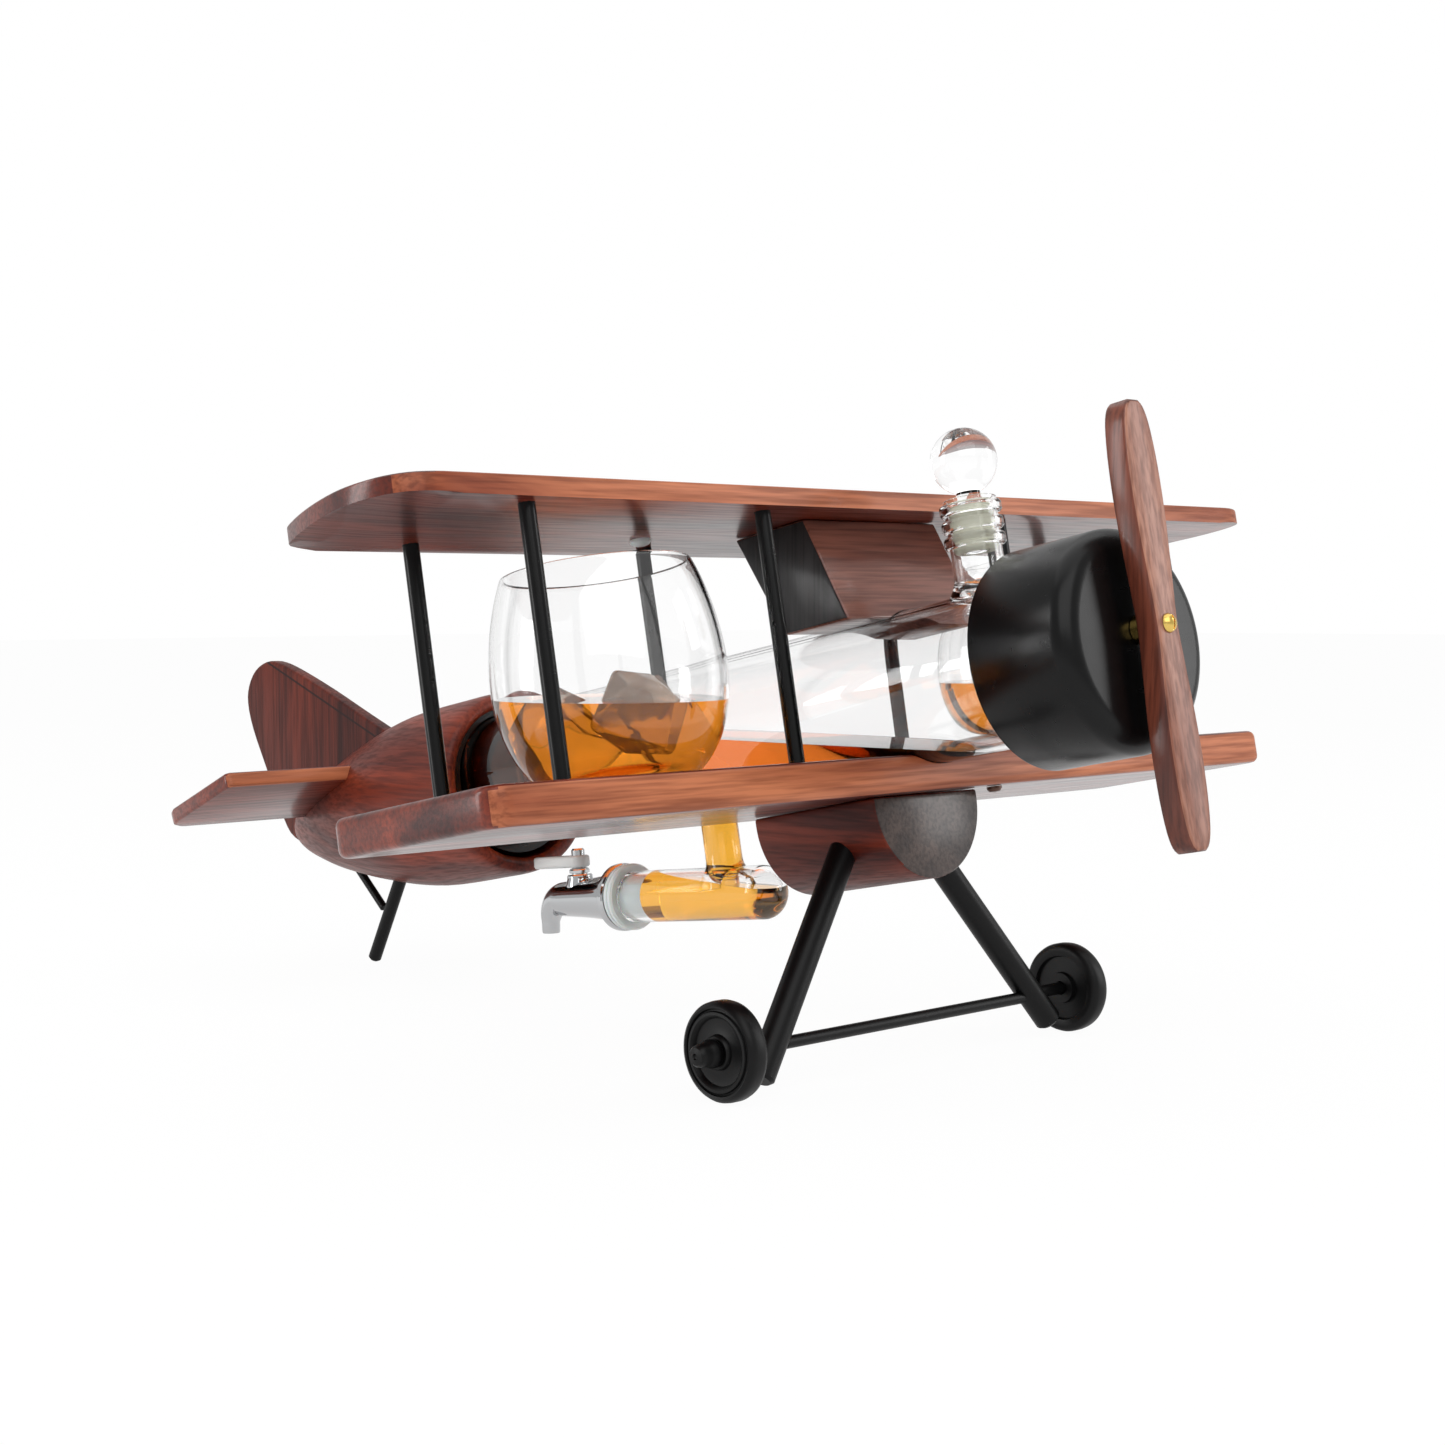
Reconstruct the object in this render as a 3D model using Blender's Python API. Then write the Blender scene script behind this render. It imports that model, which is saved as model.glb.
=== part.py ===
"""A wooden biplane that carries a glass decanter as its fuselage and two tumblers on its lower wing.

Everything is built in the airframe's own frame, in metres: x is the span (the plane's right is
-x), y runs aft from the lower wing's leading edge, z runs up from the lower wing's top face.
The empty "airframe" then pitches the whole plane nose-up on to its wheels and tail skid.
"""

from math import asin, atan2, cos, hypot, pi, radians, sin, sqrt

import bmesh
import bpy
from mathutils import Matrix, Vector

# ---- sizes that drive the rest ------------------------------------------------------------
WING_SPAN = 0.436
WING_CHORD = 0.0946
WING_GAP = 0.0944
LOWER_THICK = 0.0142
UPPER_THICK = 0.0066
UPPER_BULGE = 0.0235
DECANTER_R = 0.0302
DECANTER_WALL = 0.0022
DECANTER_FRONT = -0.088
DECANTER_LENGTH = 0.388
COWL_R = 0.0410
COWL_LENGTH = 0.0450
TAIL_R = 0.0425
TAIL_LENGTH = 0.183
TUMBLER_R = 0.0430
TUMBLER_HEIGHT = 0.0785
WHEEL_R = 0.0185
WHEEL_THICK = 0.0090
WHEEL_TRACK = 0.1990
PROP_LENGTH = 0.1605
PROP_WIDTH = 0.0180
PROP_THICK = 0.0094
PIPE_R = 0.0113
PIPE_WALL = 0.0020

# ---- clearances ---------------------------------------------------------------------------
FIT = 0.0003
TURN_FIT = 0.0004
SEAT_DEPTH = 0.0045

# ---- places that follow from them ---------------------------------------------------------
AXIS_Z = DECANTER_R + FIT - SEAT_DEPTH
HALF_SPAN = WING_SPAN / 2
UPPER_Z = WING_GAP
STRUT_R = 0.0030
STRUT_X = (0.312 * HALF_SPAN, 0.823 * HALF_SPAN)
STRUT_Y = (0.011, WING_CHORD - 0.0170)
STRUT_SOCKET = 0.0080
STRUT_TOP_SOCKET = UPPER_THICK * 0.5
TUMBLER_X = (STRUT_X[0] + STRUT_X[1]) / 2
TUMBLER_Y = (STRUT_Y[0] + STRUT_Y[1]) / 2
NECK_Y = -0.0310
NECK_R = 0.0098
NECK_TOP = 0.0915
COLLAR_R = 0.0117
COLLAR_Z = 0.0730
PLUG_R = 0.0085
BALL_R = 0.0127
BALL_Z = NECK_TOP + 0.0144
COWL_BACK = -0.0530
COWL_FRONT = COWL_BACK - COWL_LENGTH
TAIL_FRONT = 0.2570
TAIL_Z = AXIS_Z - 0.0020
LINER_WALL = 0.0042
TUBE_Y = WING_CHORD + 0.0330
TUBE_R = 0.0078
PIPE_FRONT = TUBE_Y - 0.0300
PIPE_LENGTH = 0.0890
PIPE_Z = -0.0437
PIPE_TILT = radians(4.5)
BELLY_R = 0.0300
BELLY_FRONT = 0.0110
BELLY_LENGTH = 0.0650
BELLY_SIDE = 0.0028
BELLY_TOP = -LOWER_THICK - FIT
LEG_R = 0.0055
LEG_TOP = (0.0190, BELLY_TOP - 0.0115)
WHEEL_Y = 0.0360
WHEEL_Z = -0.0990
LEG_FOOT = (WHEEL_TRACK / 2 - 0.0150, WHEEL_Z - 0.0125)
SPREADER_R = 0.0024
AXLE_R = 0.0025
CABANE_HALF = 0.0380
SCREW_R = 0.0018
WASHER_LENGTH = 0.0030
PROP_BACK = COWL_FRONT - WASHER_LENGTH - 2 * FIT
PROP_Z = AXIS_Z + 0.0030
SKID_R = 0.0032
SKID_TOP = (0.352, -0.002)
BOARD_THICK = 0.0070
FIN_THICK = 0.0080
STAB_SPAN = 0.200
STAB_CHORD = 0.0610
STAB_LEAD = (0.345, 0.0462)
STAB_DROP = radians(11.5)
STEPS = 32
SMALL_STEPS = 20

WOOD = ("mahogany", (0.10, 0.022, 0.012, 1), 0.35, 0.0)
BLACK = ("black_paint", (0.012, 0.013, 0.014, 1), 0.40, 0.0)
GLASS = ("clear_glass", (0.92, 0.95, 0.94, 1), 0.02, 0.0)
CHROME = ("chrome", (0.80, 0.80, 0.82, 1), 0.12, 1.0)
BRASS = ("brass", (0.72, 0.50, 0.18, 1), 0.25, 1.0)
SILICONE = ("silicone", (0.78, 0.77, 0.70, 1), 0.55, 0.0)
PLASTIC = ("white_plastic", (0.80, 0.80, 0.78, 1), 0.35, 0.0)


# ---- building blocks ----------------------------------------------------------------------
def clear_scene():
    for obj in list(bpy.data.objects):
        bpy.data.objects.remove(obj)


def material(spec):
    name, colour, rough, metal = spec
    made = bpy.data.materials.get(name)
    if made:
        return made
    made = bpy.data.materials.new(name)
    made.use_nodes = True
    shader = made.node_tree.nodes["Principled BSDF"]
    shader.inputs["Base Color"].default_value = colour
    shader.inputs["Roughness"].default_value = rough
    shader.inputs["Metallic"].default_value = metal
    return made


def node(name, bm, spec, at=(0, 0, 0), turn=None):
    """One closed solid from a bmesh, hung on the airframe at its own origin."""
    bmesh.ops.recalc_face_normals(bm, faces=bm.faces)
    mesh = bpy.data.meshes.new(name)
    bm.to_mesh(mesh)
    bm.free()
    obj = bpy.data.objects.new(name, mesh)
    bpy.context.scene.collection.objects.link(obj)
    obj.parent = AIRFRAME
    obj.matrix_local = Matrix.Translation(at) @ (turn or Matrix())
    mesh.materials.append(material(spec))
    return obj


def cutter(name, bm, at=(0, 0, 0), turn=None):
    obj = node(name, bm, WOOD, at, turn)
    obj.hide_render = True
    obj.display_type = "WIRE"
    return obj


def boolean(target, tool, operation="DIFFERENCE"):
    made = target.modifiers.new(tool.name, "BOOLEAN")
    made.operation = operation
    made.solver = "EXACT"
    made.object = tool


def rounded(obj, width, segments=2):
    made = obj.modifiers.new("rounding", "BEVEL")
    made.width = width
    made.segments = segments
    made.limit_method = "ANGLE"
    made.angle_limit = radians(40)


def turned(profile, steps=STEPS):
    """A solid turned about z from (radius, height) points; a radius of 0 closes an end."""
    bm = bmesh.new()
    rings = []
    for radius, height in profile:
        if radius == 0:
            rings.append([bm.verts.new((0, 0, height))])
            continue
        ring = []
        for i in range(steps):
            angle = 2 * pi * i / steps
            ring.append(bm.verts.new((radius * cos(angle), radius * sin(angle), height)))
        rings.append(ring)
    for low, high in zip(rings, rings[1:]):
        for i in range(steps):
            j = (i + 1) % steps
            corners = [low[i % len(low)], low[j % len(low)], high[j % len(high)], high[i % len(high)]]
            bm.faces.new(dict.fromkeys(corners))
    return bm


def loop_turned(profile, steps=STEPS):
    """A ring or cup turned about z from a closed (radius, height) outline."""
    bm = bmesh.new()
    rings = []
    for radius, height in profile:
        if radius == 0:
            rings.append([bm.verts.new((0, 0, height))])
            continue
        ring = []
        for i in range(steps):
            angle = 2 * pi * i / steps
            ring.append(bm.verts.new((radius * cos(angle), radius * sin(angle), height)))
        rings.append(ring)
    for low, high in zip(rings, rings[1:] + rings[:1]):
        if len(low) == 1 and len(high) == 1:
            continue
        for i in range(steps):
            j = (i + 1) % steps
            corners = [low[i % len(low)], low[j % len(low)], high[j % len(high)], high[i % len(high)]]
            bm.faces.new(dict.fromkeys(corners))
    return bm


def rod(radius, length, steps=SMALL_STEPS, ease=0.0004):
    """A dowel along +z with eased ends."""
    return turned(
        [(0, 0), (radius - ease, 0), (radius, ease), (radius, length - ease), (radius - ease, length), (0, length)],
        steps,
    )


def prism(outline, low, high):
    """A plate from an (x, y) outline, between two heights."""
    bm = bmesh.new()
    bottom = [bm.verts.new((x, y, low)) for x, y in outline]
    top = [bm.verts.new((x, y, high)) for x, y in outline]
    bm.faces.new(bottom)
    bm.faces.new(top)
    for i in range(len(outline)):
        j = (i + 1) % len(outline)
        bm.faces.new((bottom[i], bottom[j], top[j], top[i]))
    return bm


def box(low, high):
    outline = [(low[0], low[1]), (high[0], low[1]), (high[0], high[1]), (low[0], high[1])]
    return prism(outline, low[2], high[2])


def aim(direction):
    """The turn that lays local +z along a direction."""
    return Vector(direction).to_track_quat("Z", "Y").to_matrix().to_4x4()


def span_rod(name, start, end, radius, spec, steps=SMALL_STEPS):
    start = Vector(start)
    run = Vector(end) - start
    return node(name, rod(radius, run.length, steps), spec, start, aim(run))


def arc(centre, radius, start, stop, count):
    points = []
    for i in range(count + 1):
        angle = radians(start + (stop - start) * i / count)
        points.append((centre[0] + radius * cos(angle), centre[1] + radius * sin(angle)))
    return points


def rounded_rectangle(half_x, low_y, high_y, radius, count=4):
    points = arc((half_x - radius, low_y + radius), radius, -90, 0, count)
    points += arc((half_x - radius, high_y - radius), radius, 0, 90, count)
    points += arc((radius - half_x, high_y - radius), radius, 90, 180, count)
    points += arc((radius - half_x, low_y + radius), radius, 180, 270, count)
    return points


def pins(spots, radius, low, high, steps=SMALL_STEPS):
    """Several plain cylinders in one mesh, for a set of sockets."""
    bm = bmesh.new()
    for x, y in spots:
        made = bmesh.ops.create_cone(
            bm, cap_ends=True, segments=steps, radius1=radius, radius2=radius, depth=high - low
        )
        bmesh.ops.translate(bm, verts=made["verts"], vec=(x, y, (low + high) / 2))
    return bm


ALONG_Y = Matrix.Rotation(-pi / 2, 4, "X")
SIDES = (("right", -1), ("left", 1))
ROWS = (("front", STRUT_Y[0]), ("rear", STRUT_Y[1]))
BAYS = (("inner", STRUT_X[0]), ("outer", STRUT_X[1]))
STRUT_SPOTS = [(side * x, y) for _, side in SIDES for _, y in ROWS for _, x in BAYS]


# ---- wings --------------------------------------------------------------------------------
def lower_wing():
    wing = node("lower_wing", prism(rounded_rectangle(HALF_SPAN, 0, WING_CHORD, 0.009), -LOWER_THICK, 0), WOOD)
    rounded(wing, 0.0028)
    saddle = cutter("lower_saddle", rod(DECANTER_R + FIT, 0.14, 60), (0, -0.02, AXIS_Z), ALONG_Y)
    boolean(wing, saddle)
    sockets = pins(STRUT_SPOTS, STRUT_R + FIT, -STRUT_SOCKET, 0.01)
    boolean(wing, cutter("lower_strut_sockets", sockets))
    screw = pins([WING_SCREW], 0.0015 + FIT, -0.03, 0.0070 - LOWER_THICK, 16)
    boolean(wing, cutter("lower_screw_hole", screw))


def upper_outline():
    """Straight leading and trailing edges, with tips that swell outwards aft of the front corner."""
    lead = 0.0010
    half = HALF_SPAN - 0.0010
    wide = half + UPPER_BULGE
    tip = [(half + 0.0020, lead), (half + 0.0120, lead + 0.0025), (wide - 0.0045, lead + 0.0090)]
    tip += [(wide - 0.0010, lead + 0.0190), (wide, lead + 0.0300), (wide - 0.0020, lead + 0.0440)]
    tip += [(wide - 0.0060, lead + 0.0600), (wide - 0.0115, lead + 0.0760), (wide - 0.0160, lead + 0.0850)]
    tip += [(wide - 0.0215, lead + 0.0890), (half - 0.0060, lead + 0.0895)]
    return tip + [(-x, y) for x, y in reversed(tip)]


def upper_wing():
    wing = node("upper_wing", prism(upper_outline(), UPPER_Z, UPPER_Z + UPPER_THICK), WOOD)
    rounded(wing, 0.0016)
    sockets = pins(STRUT_SPOTS, STRUT_R + FIT, UPPER_Z - 0.01, UPPER_Z + STRUT_TOP_SOCKET)
    boolean(wing, cutter("upper_strut_sockets", sockets))


def struts():
    low = FIT - STRUT_SOCKET
    high = UPPER_Z + STRUT_TOP_SOCKET - FIT
    for side_name, side in SIDES:
        for row, y in ROWS:
            for bay, x in BAYS:
                name = f"strut_{side_name}_{row}_{bay}"
                node(name, rod(STRUT_R, high - low, SMALL_STEPS), BLACK, (side * x, y, low))


def wing_screw():
    """The one peg that shows under the left wing, beside the belly block."""
    shank = 0.0060
    profile = [(0, shank), (0.0015, shank), (0.0015, 0), (0.0030, 0), (0.0030, -0.0010), (0.0022, -0.0020), (0, -0.0024)]
    node("wing_screw", turned(profile, 16), BRASS_DARK, (WING_SCREW[0], WING_SCREW[1], -LOWER_THICK - FIT))


def glass_pads():
    profile = [(0, 0), (0.0040, 0), (0.0040, -0.0010), (0.0032, -0.0020), (0.0018, -0.0025), (0, -0.0026)]
    for name, side in SIDES:
        at = (side * (STRUT_X[0] + 0.0160), STRUT_Y[1] - 0.0160, UPPER_Z - FIT)
        node(f"glass_pad_{name}", turned(profile, 16), SILICONE, at)


def cabane_block():
    """The raked block between the upper wing and the decanter, hollowed to sit on the glass."""
    foot = 0.0525
    top = UPPER_Z - FIT
    outline = [(0.0032, foot), (0.0375, foot), (0.0575, top), (0.0195, top)]
    bm = prism(outline, -CABANE_HALF, CABANE_HALF)
    turn = Matrix(((0, 0, 1, 0), (1, 0, 0, 0), (0, 1, 0, 0), (0, 0, 0, 1)))
    block = node("cabane_block", bm, WOOD, turn=turn)
    rounded(block, 0.0012)
    boolean(block, cutter("cabane_saddle", rod(DECANTER_R + FIT, 0.12, 64), (0, -0.03, AXIS_Z), ALONG_Y))


def belly_block():
    spring = BELLY_TOP - BELLY_SIDE
    outline = [(BELLY_R, BELLY_TOP)] + [(BELLY_R * cos(a), spring + BELLY_R * sin(a)) for a in BELLY_ANGLES]
    outline += [(-BELLY_R, BELLY_TOP)]
    bm = prism(outline, BELLY_FRONT, BELLY_FRONT + BELLY_LENGTH)
    turn = Matrix(((1, 0, 0, 0), (0, 0, 1, 0), (0, 1, 0, 0), (0, 0, 0, 1)))
    block = node("belly_block", bm, WOOD, turn=turn)
    rounded(block, 0.0010)
    for name, side in SIDES:
        start, run = leg_line(side)
        tool = rod(LEG_R + FIT, run.length + 0.004)
        at = start - run.normalized() * FIT
        boolean(block, cutter(f"belly_socket_{name}", tool, at, aim(run)))


# ---- decanter and its stopper -------------------------------------------------------------
def decanter_body(inset):
    """The bottle's long round body; the inside is the same shape drawn in by the wall."""
    radius = DECANTER_R - inset
    low = inset
    high = DECANTER_LENGTH - inset
    ease = 0.0090 - inset
    profile = [(0, low), (radius - ease, low), (radius - 0.3 * ease, low + 0.3 * ease), (radius, low + ease)]
    profile += [(radius, high - ease), (radius - 0.3 * ease, high - 0.3 * ease), (radius - ease, high), (0, high)]
    return turned(profile, 40)


def neck_outer():
    profile = [(0, 0.040), (NECK_R + 0.0050, 0.040), (NECK_R + 0.0050, 0.0520), (NECK_R + 0.0016, 0.0570)]
    profile += [(NECK_R, 0.0610), (NECK_R, COLLAR_Z)]
    pitch = (NECK_TOP - COLLAR_Z) / 3
    for i in range(3):
        base = COLLAR_Z + i * pitch
        profile += [(COLLAR_R, base + 0.0008), (COLLAR_R, base + 0.68 * pitch)]
        profile += [(COLLAR_R - 0.0010, base + 0.80 * pitch), (COLLAR_R - 0.0010, base + 0.96 * pitch)]
    profile += [(COLLAR_R - 0.0016, NECK_TOP), (0, NECK_TOP)]
    return turned(profile, STEPS)


def decanter():
    """One blown piece: body, filling neck, down tube, and the pipe that carries the tap."""
    glass = node("decanter", decanter_body(0), GLASS, (0, DECANTER_FRONT, AXIS_Z), ALONG_Y)
    pipe_turn = Matrix.Rotation(-pi / 2 + PIPE_TILT, 4, "X")
    pipe_at = (0, PIPE_FRONT, PIPE_Z)
    boolean(glass, cutter("neck_outer", neck_outer(), (0, NECK_Y, 0)), "UNION")
    tube = turned([(0, PIPE_Z), (TUBE_R, PIPE_Z), (TUBE_R, 0.008), (0, 0.008)])
    boolean(glass, cutter("tube_outer", tube, (0, TUBE_Y, 0)), "UNION")
    ease = PIPE_R * 0.75
    pipe = [(0, 0), (PIPE_R * 0.45, 0.1 * ease), (PIPE_R * 0.85, 0.45 * ease), (PIPE_R, ease)]
    pipe += [(PIPE_R, PIPE_LENGTH), (0, PIPE_LENGTH)]
    boolean(glass, cutter("pipe_outer", turned(pipe), pipe_at, pipe_turn), "UNION")
    boolean(glass, cutter("body_inner", decanter_body(DECANTER_WALL), (0, DECANTER_FRONT, AXIS_Z), ALONG_Y))
    mouth = turned([(0, 0.045), (PLUG_R + FIT, 0.045), (PLUG_R + FIT, 0.12), (0, 0.12)], 30)
    boolean(glass, cutter("neck_inner", mouth, (0, NECK_Y, 0)))
    bore = TUBE_R - PIPE_WALL
    low = PIPE_Z + 0.0031
    inner_tube = turned([(0, low), (bore, low), (bore, 0.010), (0, 0.010)], 28)
    boolean(glass, cutter("tube_inner", inner_tube, (0, TUBE_Y, 0)))
    bore = PIPE_R - PIPE_WALL
    inner = [(0, PIPE_WALL), (bore * 0.45, PIPE_WALL + 0.1 * ease), (bore * 0.85, PIPE_WALL + 0.45 * ease)]
    inner += [(bore, PIPE_WALL + ease), (bore, PIPE_LENGTH + 0.01), (0, PIPE_LENGTH + 0.01)]
    boolean(glass, cutter("pipe_inner", turned(inner, 30), pipe_at, pipe_turn))


def stopper():
    """A glass ball on a short stem, with a ribbed seal round the stem."""
    stem = 0.0045
    seal_low = COLLAR_Z - 0.002
    seal_high = NECK_TOP - 0.003
    start = BALL_Z - sqrt(BALL_R**2 - stem**2)
    profile = [(0, seal_low - BALL_Z), (stem - 0.0005, seal_low - BALL_Z)]
    profile += [(stem, seal_low + 0.0006 - BALL_Z), (stem, start - BALL_Z)]
    first = asin(stem / BALL_R)
    for i in range(1, 10):
        angle = first + (pi - first) * i / 10
        profile.append((BALL_R * sin(angle), -BALL_R * cos(angle)))
    profile.append((0, BALL_R))
    node("stopper_ball", turned(profile, 24), GLASS, (0, NECK_Y, BALL_Z))
    height = seal_high - seal_low
    ribs = [(stem + FIT, 0)]
    for i in range(4):
        base = height * i / 4
        ribs += [(PLUG_R - 0.0008, base + 0.0001 * i), (PLUG_R, base + 0.0009), (PLUG_R, base + height / 4 - 0.0012)]
    ribs += [(PLUG_R - 0.0008, height), (stem + FIT, height)]
    node("stopper_seal", loop_turned(ribs, 18), SILICONE, (0, NECK_Y, seal_low))


# ---- nose ---------------------------------------------------------------------------------
def cowling():
    """A turned cup that takes the decanter's front end."""
    floor = DECANTER_FRONT - FIT - COWL_FRONT
    bore = DECANTER_R + FIT
    ease = 0.0065
    outline = [(0, 0), (COWL_R - ease, 0)]
    outline += [(COWL_R - ease + ease * sin(a), ease - ease * cos(a)) for a in (pi / 8, pi / 4, 3 * pi / 8)]
    outline += [(COWL_R, ease), (COWL_R, COWL_LENGTH - 0.001), (COWL_R - 0.001, COWL_LENGTH)]
    outline += [(bore, COWL_LENGTH), (bore, floor), (0, floor)]
    cup = node("cowling", turned(outline, 40), BLACK, (0, COWL_FRONT, AXIS_Z), ALONG_Y)
    pilot = rod(SCREW_R + FIT, 0.0075 + 0.002, 16, 0.0001)
    boolean(cup, cutter("cowling_pilot", pilot, (0, COWL_FRONT - 0.002, PROP_Z), ALONG_Y))


def blade_outline():
    """One plank, waisted at the hub and round at the tips: (x, z) about the hub."""
    half = PROP_LENGTH / 2
    wide = PROP_WIDTH / 2
    side = [(0.30 * wide, half), (0.62 * wide, 0.965 * half), (0.84 * wide, 0.88 * half), (0.97 * wide, 0.72 * half)]
    side += [(wide, 0.55 * half), (0.94 * wide, 0.38 * half), (0.80 * wide, 0.18 * half), (0.72 * wide, 0.05 * half)]
    lower = [(x, -z) for x, z in reversed(side)]
    right = side + lower
    return right + [(-x, z) for x, z in reversed(right)]


def propeller():
    bm = prism(blade_outline(), 0, PROP_THICK)
    turn = Matrix(((1, 0, 0, 0), (0, 0, 1, 0), (0, 1, 0, 0), (0, 0, 0, 1)))
    blade = node("propeller", bm, WOOD, (0, PROP_BACK - PROP_THICK, PROP_Z), turn)
    rounded(blade, 0.0012)
    hole = rod(SCREW_R + TURN_FIT, PROP_THICK + 0.01, SMALL_STEPS, 0.0001)
    boolean(blade, cutter("propeller_hole", hole, (0, PROP_BACK - PROP_THICK - 0.005, PROP_Z), ALONG_Y))


def propeller_hardware():
    inner = SCREW_R + FIT
    ring = [(inner, 0), (0.0052, 0), (0.0052, WASHER_LENGTH), (inner, WASHER_LENGTH)]
    node("propeller_washer", loop_turned(ring, 24), BRASS, (0, PROP_BACK + FIT, PROP_Z), ALONG_Y)
    head = 0.0024
    reach = PROP_THICK + WASHER_LENGTH + 0.0070
    profile = [(0, -head), (0.0014, -0.92 * head), (0.0026, -0.60 * head), (0.0034, -0.0003), (0.0034, 0)]
    profile += [(SCREW_R, 0), (SCREW_R, reach - 0.001), (SCREW_R * 0.4, reach), (0, reach)]
    at = (0, PROP_BACK - PROP_THICK - FIT, PROP_Z)
    node("propeller_screw", turned(profile, 24), BRASS, at, ALONG_Y)


# ---- tail ---------------------------------------------------------------------------------
def tail_profile():
    """Turned outside, front lip to rear end, as (radius, distance from the lip)."""
    r = TAIL_R
    length = TAIL_LENGTH
    return [
        (0.925 * r, 0.000 * length),
        (0.985 * r, 0.014 * length),
        (1.000 * r, 0.045 * length),
        (1.000 * r, 0.120 * length),
        (1.000 * r, 0.235 * length),
        (0.985 * r, 0.333 * length),
        (0.930 * r, 0.432 * length),
        (0.865 * r, 0.508 * length),
        (0.790 * r, 0.590 * length),
        (0.700 * r, 0.672 * length),
        (0.600 * r, 0.754 * length),
        (0.475 * r, 0.836 * length),
        (0.360 * r, 0.902 * length),
        (0.230 * r, 0.956 * length),
        (0.100 * r, 0.990 * length),
        (0, 1.000 * length),
    ]


def tail_cone():
    bore = DECANTER_R + FIT + LINER_WALL + FIT
    depth = LINER_DEPTH + FIT
    cone = node("tail_cone", turned([(0, 0)] + tail_profile(), STEPS), WOOD, (0, TAIL_FRONT, TAIL_Z), ALONG_Y)
    mouth = turned([(0, -0.01), (bore, -0.01), (bore, depth), (0, depth)], 44)
    boolean(cone, cutter("tail_bore", mouth, (0, TAIL_FRONT, AXIS_Z), ALONG_Y))
    gap = FIN_THICK / 2 + FIT
    slot = prism(offset_fin(FIT), -gap, gap)
    turn = Matrix(((0, 0, 1, 0), (1, 0, 0, 0), (0, 1, 0, 0), (0, 0, 0, 1)))
    boolean(cone, cutter("fin_slot", slot, turn=turn))
    for name, side in SIDES:
        at, turned_by = stab_place()
        low = FIT + BOARD_THICK
        x0, x1 = sorted((side * (STAB_ROOT - FIT), side * 0.09))
        tool = box((x0, -FIT, -low), (x1, STAB_CHORD + FIT, FIT))
        boolean(cone, cutter(f"stabilizer_slot_{name}", tool, at, turned_by))
    start, run = skid_line()
    tool = rod(SKID_R + FIT, run.length + 0.002)
    boolean(cone, cutter("skid_socket", tool, start - run.normalized() * FIT, aim(run)))
    start, run = brace_line()
    tool = rod(BRACE_R + FIT, run.length + 0.002, 16)
    boolean(cone, cutter("brace_socket", tool, start - run.normalized() * FIT, aim(run)))


def tail_liner():
    inner = DECANTER_R + FIT
    outer = inner + LINER_WALL
    ring = [(inner, 0.004), (outer, 0.004), (outer, LINER_DEPTH), (inner, LINER_DEPTH)]
    node("tail_liner", loop_turned(ring, 44), BLACK, (0, TAIL_FRONT, AXIS_Z), ALONG_Y)


def fin_points():
    """The fin's outline as (y, z): leading edge, round peak, rear edge down past the stabilizer."""
    top = [(0.3420, 0.0570), (0.3700, 0.0735), (0.3990, 0.0910), (0.4250, 0.1055), (0.4400, 0.1125)]
    back = [(0.4500, 0.1145), (0.4610, 0.1120), (0.4690, 0.1050), (0.4720, 0.0960), (0.4700, 0.0820)]
    foot = [(0.4620, 0.0600), (0.4530, 0.0360), (0.4460, 0.0230), (0.4360, 0.0165), (0.3900, 0.0220)]
    return top + back + foot + [(0.3420, 0.0500)]


def offset_fin(gap):
    """The fin's foot grown by a clearance, and carried well past the cone's back and top."""
    return [(0.3420 - gap, 0.0500 - gap), (0.3900, 0.0220 - gap), (0.4360, 0.0165 - gap), (0.49, 0.0165 - gap)] + [
        (0.49, 0.09),
        (0.3420 - gap, 0.09),
    ]


def tail_fin():
    turn = Matrix(((0, 0, 1, 0), (1, 0, 0, 0), (0, 1, 0, 0), (0, 0, 0, 1)))
    fin = node("tail_fin", prism(fin_points(), -FIN_THICK / 2, FIN_THICK / 2), WOOD, turn=turn)
    rounded(fin, 0.0016)


def stab_place():
    return (0, STAB_LEAD[0], STAB_LEAD[1]), Matrix.Rotation(-STAB_DROP, 4, "X")


def stabilizers():
    """Two boards, let into the cone either side of the fin and sloping down aft."""
    at, turned_by = stab_place()
    half = STAB_SPAN / 2
    for name, side in SIDES:
        outline = [(STAB_ROOT, 0), (half - 0.002, 0), (half, 0.002)]
        outline += [(half, STAB_CHORD - 0.009), (half - 0.004, STAB_CHORD - 0.002), (half - 0.010, STAB_CHORD)]
        outline += [(STAB_ROOT, STAB_CHORD)]
        board = prism([(side * x, y) for x, y in outline], -BOARD_THICK, 0)
        made = node(f"stabilizer_{name}", board, WOOD, at, turned_by)
        rounded(made, 0.0014)


def skid_line():
    start = Vector((0, SKID_TOP[0], SKID_TOP[1]))
    return start, SKID_FOOT - start


def brace_line():
    start = Vector((0, SKID_TOP[0] + 0.0430, SKID_TOP[1] + 0.0020))
    skid_start, skid_run = skid_line()
    target = skid_start + skid_run * 0.55
    run = target - start
    return start, run * (1 - (SKID_R + BRACE_R * 0.9) / run.length)


def tail_skid():
    start, run = skid_line()
    node("tail_skid", rod(SKID_R, run.length, SMALL_STEPS, 0.0008), BLACK, start, aim(run))
    start, run = brace_line()
    node("tail_skid_brace", rod(BRACE_R, run.length, 16, 0.0003), BLACK, start, aim(run))


# ---- landing gear -------------------------------------------------------------------------
def leg_line(side):
    start = Vector((side * LEG_TOP[0], WHEEL_Y, LEG_TOP[1]))
    end = Vector((side * LEG_FOOT[0], WHEEL_Y, LEG_FOOT[1]))
    return start, end - start


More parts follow.
